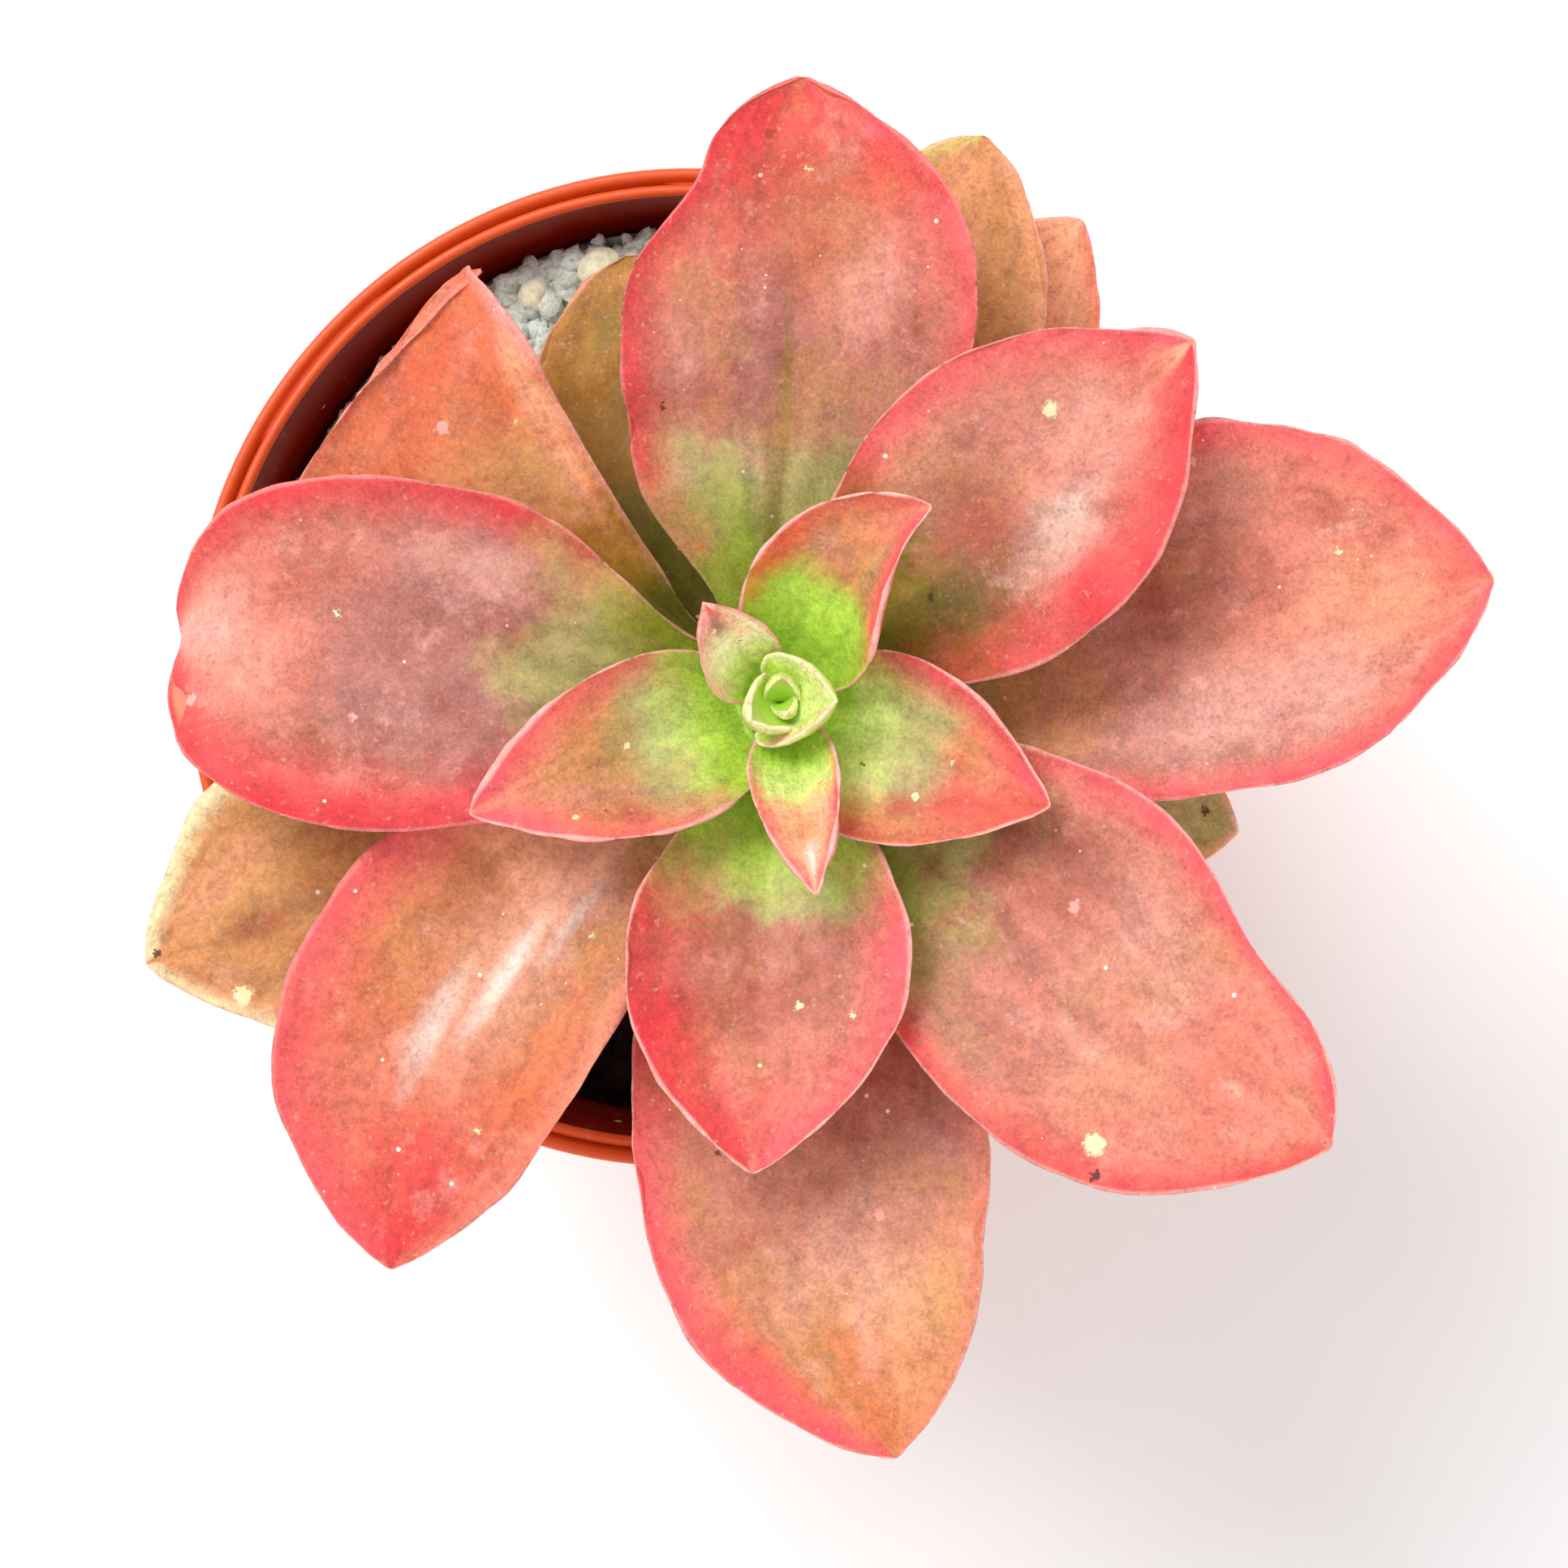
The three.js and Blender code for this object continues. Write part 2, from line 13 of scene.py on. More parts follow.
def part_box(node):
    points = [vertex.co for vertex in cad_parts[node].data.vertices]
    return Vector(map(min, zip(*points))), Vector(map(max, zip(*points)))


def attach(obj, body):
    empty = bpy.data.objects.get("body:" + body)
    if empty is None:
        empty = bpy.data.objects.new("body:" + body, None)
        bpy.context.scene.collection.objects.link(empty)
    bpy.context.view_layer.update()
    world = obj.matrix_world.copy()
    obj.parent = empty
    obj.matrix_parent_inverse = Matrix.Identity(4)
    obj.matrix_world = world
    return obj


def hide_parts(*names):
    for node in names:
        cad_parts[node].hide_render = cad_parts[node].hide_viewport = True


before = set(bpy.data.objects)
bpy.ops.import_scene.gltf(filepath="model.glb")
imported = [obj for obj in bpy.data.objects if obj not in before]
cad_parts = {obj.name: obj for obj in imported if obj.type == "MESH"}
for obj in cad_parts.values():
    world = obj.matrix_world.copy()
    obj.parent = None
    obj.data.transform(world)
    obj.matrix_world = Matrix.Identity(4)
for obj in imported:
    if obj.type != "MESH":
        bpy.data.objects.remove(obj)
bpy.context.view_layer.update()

bl_info = {
    "name": "Potted Rosette Succulent",
    "version": (1, 0, 0),
    "blender": (4, 5, 0),
    "location": "3D View > Sidebar > Succulent",
    "description": "Models a rosette succulent in its nursery pot, piece by piece",
    "category": "Add Mesh",
}

MM = 0.001
POT_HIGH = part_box("pot")[1]
RIM_RADIUS = POT_HIGH.x
LIP = POT_HIGH.z
STEM_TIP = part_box("stem")[1].z

# Two points closer than these are one point, in a CAD copy and in a turned shape.
MERGE_COPY = 2e-6
MERGE_TURNED = 1e-6


def nodes_called(start):
    """The CAD nodes whose names start that way."""
    return [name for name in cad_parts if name.startswith(start)]


# ---------------------------------------------------------------- colours

# Each paint as six hex digits, two for each of red, green and blue.
PALETTE = {
    "lime": "a4ba3c",
    "pale_lime": "cfe07c",
    "leaf_lime": "b4d94a",
    "green": "8c9a1e",
    "sage": "b3a868",
    "olive": "8a741c",
    "moss": "6a6409",
    "rose": "c67c68",
    "mauve": "b87568",
    "plum": "9a6a66",
    "salmon": "e8806a",
    "coral": "e4543e",
    "orange": "dd6434",
    "peach": "f8ac82",
    "tan": "d08c54",
    "gold": "c08a4c",
    "ochre": "a8720e",
    "rust": "9f4028",
    "hot_pink": "f2505c",
    "crimson": "e2303a",
    "blush": "ffb2aa",
    "dusty_pink": "eeb0a2",
    "pearl": "f6dccd",
    "cream": "fbf3bd",
    "bark": "4a230c",
}


def linear(hex_digits):
    """The renderer's colour for six hex digits."""
    channels = [int(hex_digits[i:i + 2], 16) / 255 for i in (0, 2, 4)]
    return [c / 12.92 if c <= 0.04045 else ((c + 0.055) / 1.055) ** 2.4 for c in channels] + [1.0]


def paint(name):
    """The renderer's colour for a name in the palette."""
    return linear(PALETTE[name])


# ---------------------------------------------------------------- settings

def length(name, description, default, low=0.0, high=1.0):
    """A length property, in metres."""
    return FloatProperty(name=name, description=description, default=default, min=low, max=high,
                         unit="LENGTH", subtype="DISTANCE", precision=5)


def share(name, description, default):
    """A property that is a share of something."""
    return FloatProperty(name=name, description=description, default=default, min=0.0, max=1.0,
                         subtype="FACTOR")


def colour(name, description, hex_digits):
    """A colour property."""
    return FloatVectorProperty(name=name, description=description, default=linear(hex_digits),
                               size=4, min=0.0, max=1.0, subtype="COLOR")


def count(name, description, default, high):
    """A whole number property."""
    return IntProperty(name=name, description=description, default=default, min=0, max=high)


class SucculentLeafSettings(bpy.types.PropertyGroup):
    """Shape and finish that all leaves share."""

    levels: count("Subdivision", "How many times a leaf's surface is divided", 3, 4)
    margin_crease: share("Margin crease", "How sharp the margins stay", 0.55)
    wave: length("Wave", "Height of the long waves that bend a leaf", 2.4 * MM)
    wave_size: length("Wave size", "Width of the long waves", 17 * MM)
    swell: length("Swell", "Height of the broad bumps of the flesh", 1.5 * MM)
    swell_size: length("Swell size", "Width of the broad bumps", 9 * MM)
    dimple: length("Dimples", "Height of the small bumps of the skin", 0.22 * MM)
    dimple_size: length("Dimple size", "Width of the small bumps", 2.2 * MM)
    grain_size: length("Grain size", "Width of the finest marks on the skin", 0.32 * MM)
    roughness: share("Roughness", "Roughness of the waxy skin", 0.46)
    translucence: share("Translucence", "Light that passes through the flesh", 0.12)


class SucculentPotSettings(bpy.types.PropertyGroup):
    """Sizes and colours of the nursery pot."""

    base_radius: length("Base radius", "Outside radius where the pot stands", 36 * MM)
    wall: length("Wall", "Thickness of the wall", 1.1 * MM)
    floor: length("Floor", "Thickness of the floor", 1.4 * MM)
    collar: length("Collar height", "Height of the wider band under the lip", 11 * MM)
    collar_step: length("Collar step", "How far that band stands out", 1.3 * MM)
    lip_width: length("Lip width", "Width of the outer bead", 1.3 * MM)
    bead_width: length("Bead width", "Width of the inner bead", 1.2 * MM)
    groove_width: length("Groove width", "Gap between the two beads", 0.35 * MM)
    groove_depth: length("Groove depth", "Depth of that gap", 0.8 * MM)
    channel_rise: length("Channel rise", "Lift of the ring under the drain holes", 3.2 * MM)
    channel_inner: length("Channel inner radius", "Where that ring starts", 18 * MM)
    channel_outer: length("Channel outer radius", "Where that ring ends", 32 * MM)
    drain_radius: length("Drain hole", "Radius of a drain hole", 2.6 * MM)
    drain_count: count("Drain holes", "How many drain holes the floor has", 8, 24)
    outside: colour("Outside", "Colour of the plastic", "ee5a1e")
    # The inside colour is the plastic darkened as painted shade of the inner wall.
    inside: colour("Inside", "Colour of the plastic inside, stained by the soil", "8c1c06")


class SucculentFillSettings(bpy.types.PropertyGroup):
    """The soil, the pumice and the loose stones."""

    grain: length("Grain", "Mean width of a pumice grain", 2.0 * MM)
    spacing: length("Spacing", "Mean distance between grains", 1.42 * MM)
    crumb: length("Crumb", "Mean width of a soil crumb", 2.2 * MM)
    seed: count("Seed", "Start of the random draws", 7, 10000)
    pumice: colour("Pumice", "Colour of the grains", "fafff6")
    # The grey-green that the grains' hollows get is painted shade.
    pumice_painted_shade: colour("Pumice shade", "Colour of the dust between the grains", "7f8b7c")
    pebble: colour("Pebble", "Colour of the loose stones", "faf5d6")
    soil: colour("Soil", "Colour of the damp peat", "20100a")


class SucculentStageSettings(bpy.types.PropertyGroup):
    """Floor, lights and camera."""

    floor: colour("Floor", "Colour of the floor", "fcfcfc")
    floor_size: length("Floor size", "Half width of the floor", 3.0, high=20.0)
    daylight: FloatProperty(name="Daylight", description="Strength of the even light", default=0.66, min=0.0)
    key: FloatProperty(name="Key light", description="Power of the soft key light", default=24.0, min=0.0)
    fill: FloatProperty(name="Fill light", description="Power of the soft fill light", default=6.0, min=0.0)
    camera: FloatVectorProperty(name="Camera", description="Where the camera stands, above the plant",
                                default=(0.03345, -0.0318, 0.4267), size=3, subtype="TRANSLATION")
    target: FloatVectorProperty(name="Target", description="What the camera looks at",
                                default=(0.01075, -0.01275, 0.088), size=3, subtype="TRANSLATION")
    lens: FloatProperty(name="Lens", description="Focal length in millimetres", default=74.9, min=1.0)


class SucculentSettings(bpy.types.PropertyGroup):
    """All settings of the plant."""

    leaves: PointerProperty(type=SucculentLeafSettings, name="Leaves")
    pot: PointerProperty(type=SucculentPotSettings, name="Pot")
    fill: PointerProperty(type=SucculentFillSettings, name="Fill")
    stage: PointerProperty(type=SucculentStageSettings, name="Stage")


# ---------------------------------------------------------------- modelling helpers

def deselect():
    """Leaves nothing selected and nothing in edit mode."""
    if bpy.context.object and bpy.context.object.mode != "OBJECT":
        bpy.ops.object.mode_set(mode="OBJECT")
    bpy.ops.object.select_all(action="DESELECT")


def pick(piece):
    """Selects one piece and makes it the active one."""
    deselect()
    piece.select_set(True)
    bpy.context.view_layer.objects.active = piece


def edit(piece):
    """Opens a piece in edit mode with all of it selected."""
    pick(piece)
    bpy.ops.object.mode_set(mode="EDIT")
    bpy.ops.mesh.select_all(action="SELECT")


def finish_edit():
    """Goes back from edit mode to object mode."""
    bpy.ops.object.mode_set(mode="OBJECT")


def select_in_edit(piece, kind, chosen):
    """Opens a piece in edit mode with only the chosen vertices or edges or faces selected."""
    deselect()
    mesh = piece.data
    for part in (mesh.vertices, mesh.edges, mesh.polygons):
        part.foreach_set("select", [False] * len(part))
    parts = {"VERT": mesh.vertices, "EDGE": mesh.edges, "FACE": mesh.polygons}[kind]
    for index in chosen:
        parts[index].select = True
    pick(piece)
    bpy.ops.object.mode_set(mode="EDIT")
    bpy.ops.mesh.select_mode(type=kind)


def apply_modifier(piece, kind, name, **values):
    """Adds a modifier with these values and applies it."""
    modifier = piece.modifiers.new(name, kind)
    for key, value in values.items():
        setattr(modifier, key, value)
    pick(piece)
    bpy.ops.object.modifier_apply(modifier=name)


def bumps(piece, name, height, size, depth=1, direction="NORMAL"):
    """Raises and sinks a piece's surface in soft bumps of that height and size."""
    texture = bpy.data.textures.new(name, "CLOUDS")
    texture.noise_scale = size
    texture.noise_depth = depth
    apply_modifier(piece, "DISPLACE", name, texture=texture, texture_coords="LOCAL",
                   strength=height, mid_level=0.5, direction=direction)
    bpy.data.textures.remove(texture)


def copy_of_node(node, name):
    """A new piece with a merged copy of a CAD node's mesh."""
    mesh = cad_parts[node].data.copy()
    mesh.materials.clear()
    piece = bpy.data.objects.new(name, mesh)
    bpy.context.scene.collection.objects.link(piece)
    edit(piece)
    bpy.ops.mesh.remove_doubles(threshold=MERGE_COPY)
    finish_edit()
    mesh.name = name
    return piece


def hand_in(piece, slot, *nodes):
    """Shades a finished piece smooth, hangs it from the root body and hides the CAD nodes that it stands
    for. The slot is not used.
    """
    pick(piece)
    bpy.ops.object.shade_smooth()
    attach(piece, "root")
    if nodes:
        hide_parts(*nodes)
    deselect()
    return piece


def coat(piece, *materials):
    """Gives a piece its materials."""
    piece.data.materials.clear()
    for material in materials:
        piece.data.materials.append(material)


def coat_node(node, material):
    """Gives a carried-over CAD node a better material."""
    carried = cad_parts[node]
    if not carried.material_slots:
        carried.data.materials.append(material)
    for slot in carried.material_slots:
        slot.material = material


# ---------------------------------------------------------------- material recipe

class Recipe:
    """A material's nodes, added one call at a time. Sizes are in metres on the piece."""

    def __init__(self, name):
        self.material = bpy.data.materials.new(name)
        self.material.use_nodes = True
        self.tree = self.material.node_tree
        self.shader = self.tree.nodes["Principled BSDF"]
        self.place = self.node("ShaderNodeTexCoord").outputs["Object"]

    def node(self, kind, inputs=(), **settings):
        """A node with its settings, and its inputs given by index or name."""
        made = self.tree.nodes.new(kind)
        for key, value in settings.items():
            setattr(made, key, value)
        for key, value in dict(inputs).items():
            self.give(made.inputs[key], value)
        return made

    def give(self, socket, value):
        """Links a socket to an output, or sets it to a value."""
        if isinstance(value, bpy.types.NodeSocket):
            self.tree.links.new(value, socket)
        else:
            socket.default_value = value

    def attribute(self, name, output="Fac"):
        """An attribute of the piece, as a value or a vector."""
        return self.node("ShaderNodeAttribute", attribute_name=name).outputs[output]

    def noise(self, size, detail=2.0, rough=0.5, seed=0.0, output="Fac", place=None):
        """Soft noise whose marks have about that size."""
        inputs = {"Vector": place or self.place, "W": seed, "Scale": 1 / size,
                  "Detail": detail, "Roughness": rough}
        return self.node("ShaderNodeTexNoise", inputs, noise_dimensions="4D").outputs[output]

    def cells(self, size, seed=0.0, output="Distance"):
        """Cells of about that size: the distance to the nearest centre, or its random colour."""
        inputs = {"Vector": self.place, "W": seed, "Scale": 1 / size}
        return self.node("ShaderNodeTexVoronoi", inputs, voronoi_dimensions="4D").outputs[output]

    def calc(self, operation, a, b=0.0):
        """Arithmetic on two values."""
        return self.node("ShaderNodeMath", {0: a, 1: b}, operation=operation).outputs[0]

    def vector(self, operation, a, b, output=0):
        """Arithmetic on two vectors."""
        return self.node("ShaderNodeVectorMath", {0: a, 1: b}, operation=operation).outputs[output]

    def parts(self, vector):
        """The three numbers of a vector or a colour."""
        return self.node("ShaderNodeSeparateXYZ", {0: vector}).outputs

    def distance(self, place, point, scale=None):
        """How far a place is from a point, in each direction's own scale where one is given."""
        away = self.vector("SUBTRACT", place, point)
        if scale is not None:
            away = self.vector("MULTIPLY", away, scale)
        return self.vector("LENGTH", away, (0, 0, 0), "Value")

    def dots(self, size, seed, reach, rare, common, most, channel=0):
        """
        Small round dots in some of the cells of that size.

        A dot is full at the second reach from its centre and gone at the first. A cell whose chance is
        under rare has none, and one over common has a dot of full strength, which is most.
        """
        near = self.fade(self.cells(size, seed), *reach)
        chance = self.parts(self.cells(size, seed, "Color"))[channel]
        return self.calc("MULTIPLY", near, self.fade(chance, rare, common, 0.0, most))

    def fade(self, value, start, end, low=0.0, high=1.0):
        """Runs smoothly from low to high as the value goes from start to end."""
        inputs = {"Value": value, "From Min": start, "From Max": end, "To Min": low, "To Max": high}
        return self.node("ShaderNodeMapRange", inputs, interpolation_type="SMOOTHSTEP").outputs[0]

    def mix(self, amount, first, second):
        """Mixes two colours."""
        inputs = {0: amount, 6: first, 7: second}
        return self.node("ShaderNodeMix", inputs, data_type="RGBA").outputs[2]

    def ramp(self, value, stops):
        """A colour for each value, from (place, colour) stops."""
        made = self.node("ShaderNodeValToRGB", {0: value})
        made.color_ramp.interpolation = "EASE"
        elements = made.color_ramp.elements
        while len(elements) < len(stops):
            elements.new(0.5)
        for element, (position, tint) in zip(elements, stops):
            element.position = position
            element.color = tint
        return made.outputs[0]

    def bump(self, height, distance, strength=1.0):
        """Fine relief that only the light shows."""
        inputs = {"Height": height, "Distance": distance, "Strength": strength}
        return self.node("ShaderNodeBump", inputs).outputs[0]

    def shade(self, **inputs):
        """Sets or links the shader's sockets and returns the material."""
        for name, value in inputs.items():
            self.give(self.shader.inputs[name.replace("_", " ")], value)
        return self.material


# ---------------------------------------------------------------- leaves

RING_POINTS = 12
HALF_RING = RING_POINTS // 2
LEAF_RINGS = 14
UPPER_PLACES = [1, 0.68, 0.34, 0, -0.34, -0.68, -1]
LOWER_PLACES = [-0.84, -0.42, 0, 0.42, 0.84]

# Shares of a leaf's half width, of its length, and of the way from its lower to its upper face.
GROOVE_WIDTH = 0.1
GROOVE_STARTS = (0, 0.15)
GROOVE_ENDS = (0.4, 0.8)
OUTER_HALF = 0.5
UPPER_FACE = 0.75

# A leaf whose box has this diagonal or more gets waves and bumps of full height.
FULL_LEAF = 40 * MM

# Widths of the marks on a leaf's skin.
WANDER = 7 * MM
RAGGED = 3.4 * MM
BLOTCH = 1.3 * MM
FRECKLE = 0.7 * MM
PALE_FRECKLE = 0.8 * MM
DUST = 2.3 * MM
FINE_DUST = 1.2 * MM
LIP_LINE = 0.55 * MM

# A margin's band fades out over this many times the width that its look gives.
BAND_FADE = 2.3


@dataclass
class Patch:
    """A soft patch of colour on a leaf: its place along and across, its reach and its strength."""

    along: float
    across: float
    long: float
    wide: float
    tint: str
    strength: float = 0.8


@dataclass
class Look:
    """
    How one leaf differs from the others.

    The colours base, neck, middle and end follow each other from the stem to the tip. The neck is full
    at reach and the middle at turn, both as shares of the length, and under is the underside's colour.
    Left and right are the margins' bands, as (colour, width in mm, strength). Rim is the strength of the
    narrow pale line on the margin itself, partly the leaf's own pale edge and partly a painted edge
    highlight, and lip its colour. Mottle is (colour, strength), and bloom and gold are the strengths of a
    pink and a gold mottling. Groove is the midrib's depth in mm, or its height where it is negative. Close
    is how much of the way to the growing point a core leaf's foot and tip move, and spread widens the
    leaf. Scabs are (along, across, radius in mm, colour).
    """

    base: str = "green"
    neck: str = "sage"
    middle: str = "rose"
    end: str = "salmon"
    reach: float = 0.32
    turn: float = 0.48
    left: tuple = ("hot_pink", 2.6, 0.9)
    right: tuple = ("hot_pink", 2.6, 0.9)
    rim: float = 0.35
    mottle: tuple = ("rust", 0.45)
    bloom: float = 0.3
    gold: float = 0.3
    lip: str = "blush"
    under: str = "rose"
    groove: float = 0.25
    close: tuple = (0.0, 0.0)
    spread: float = 1.0
    patches: tuple = ()
    scabs: tuple = ()


def core_look(**changes):
    """A core leaf: lime with cream margins, folded in over the growing point."""
    shared = {
        "base": "leaf_lime", "neck": "leaf_lime", "middle": "pale_lime", "end": "pale_lime",
        "reach": 0.3, "turn": 0.6, "left": ("cream", 0.7, 0.8), "right": ("cream", 0.7, 0.8),
        "rim": 0.9, "lip": "cream", "mottle": ("leaf_lime", 0.2), "bloom": 0.0, "gold": 0.0,
        "under": "leaf_lime", "spread": 1.3,
    }
    return Look(**(shared | changes))


# The innermost core leaves, which show less cream.
INNERMOST = {"middle": "leaf_lime", "turn": 0.7, "rim": 0.35,
             "left": ("cream", 0.4, 0.7), "right": ("cream", 0.4, 0.7)}

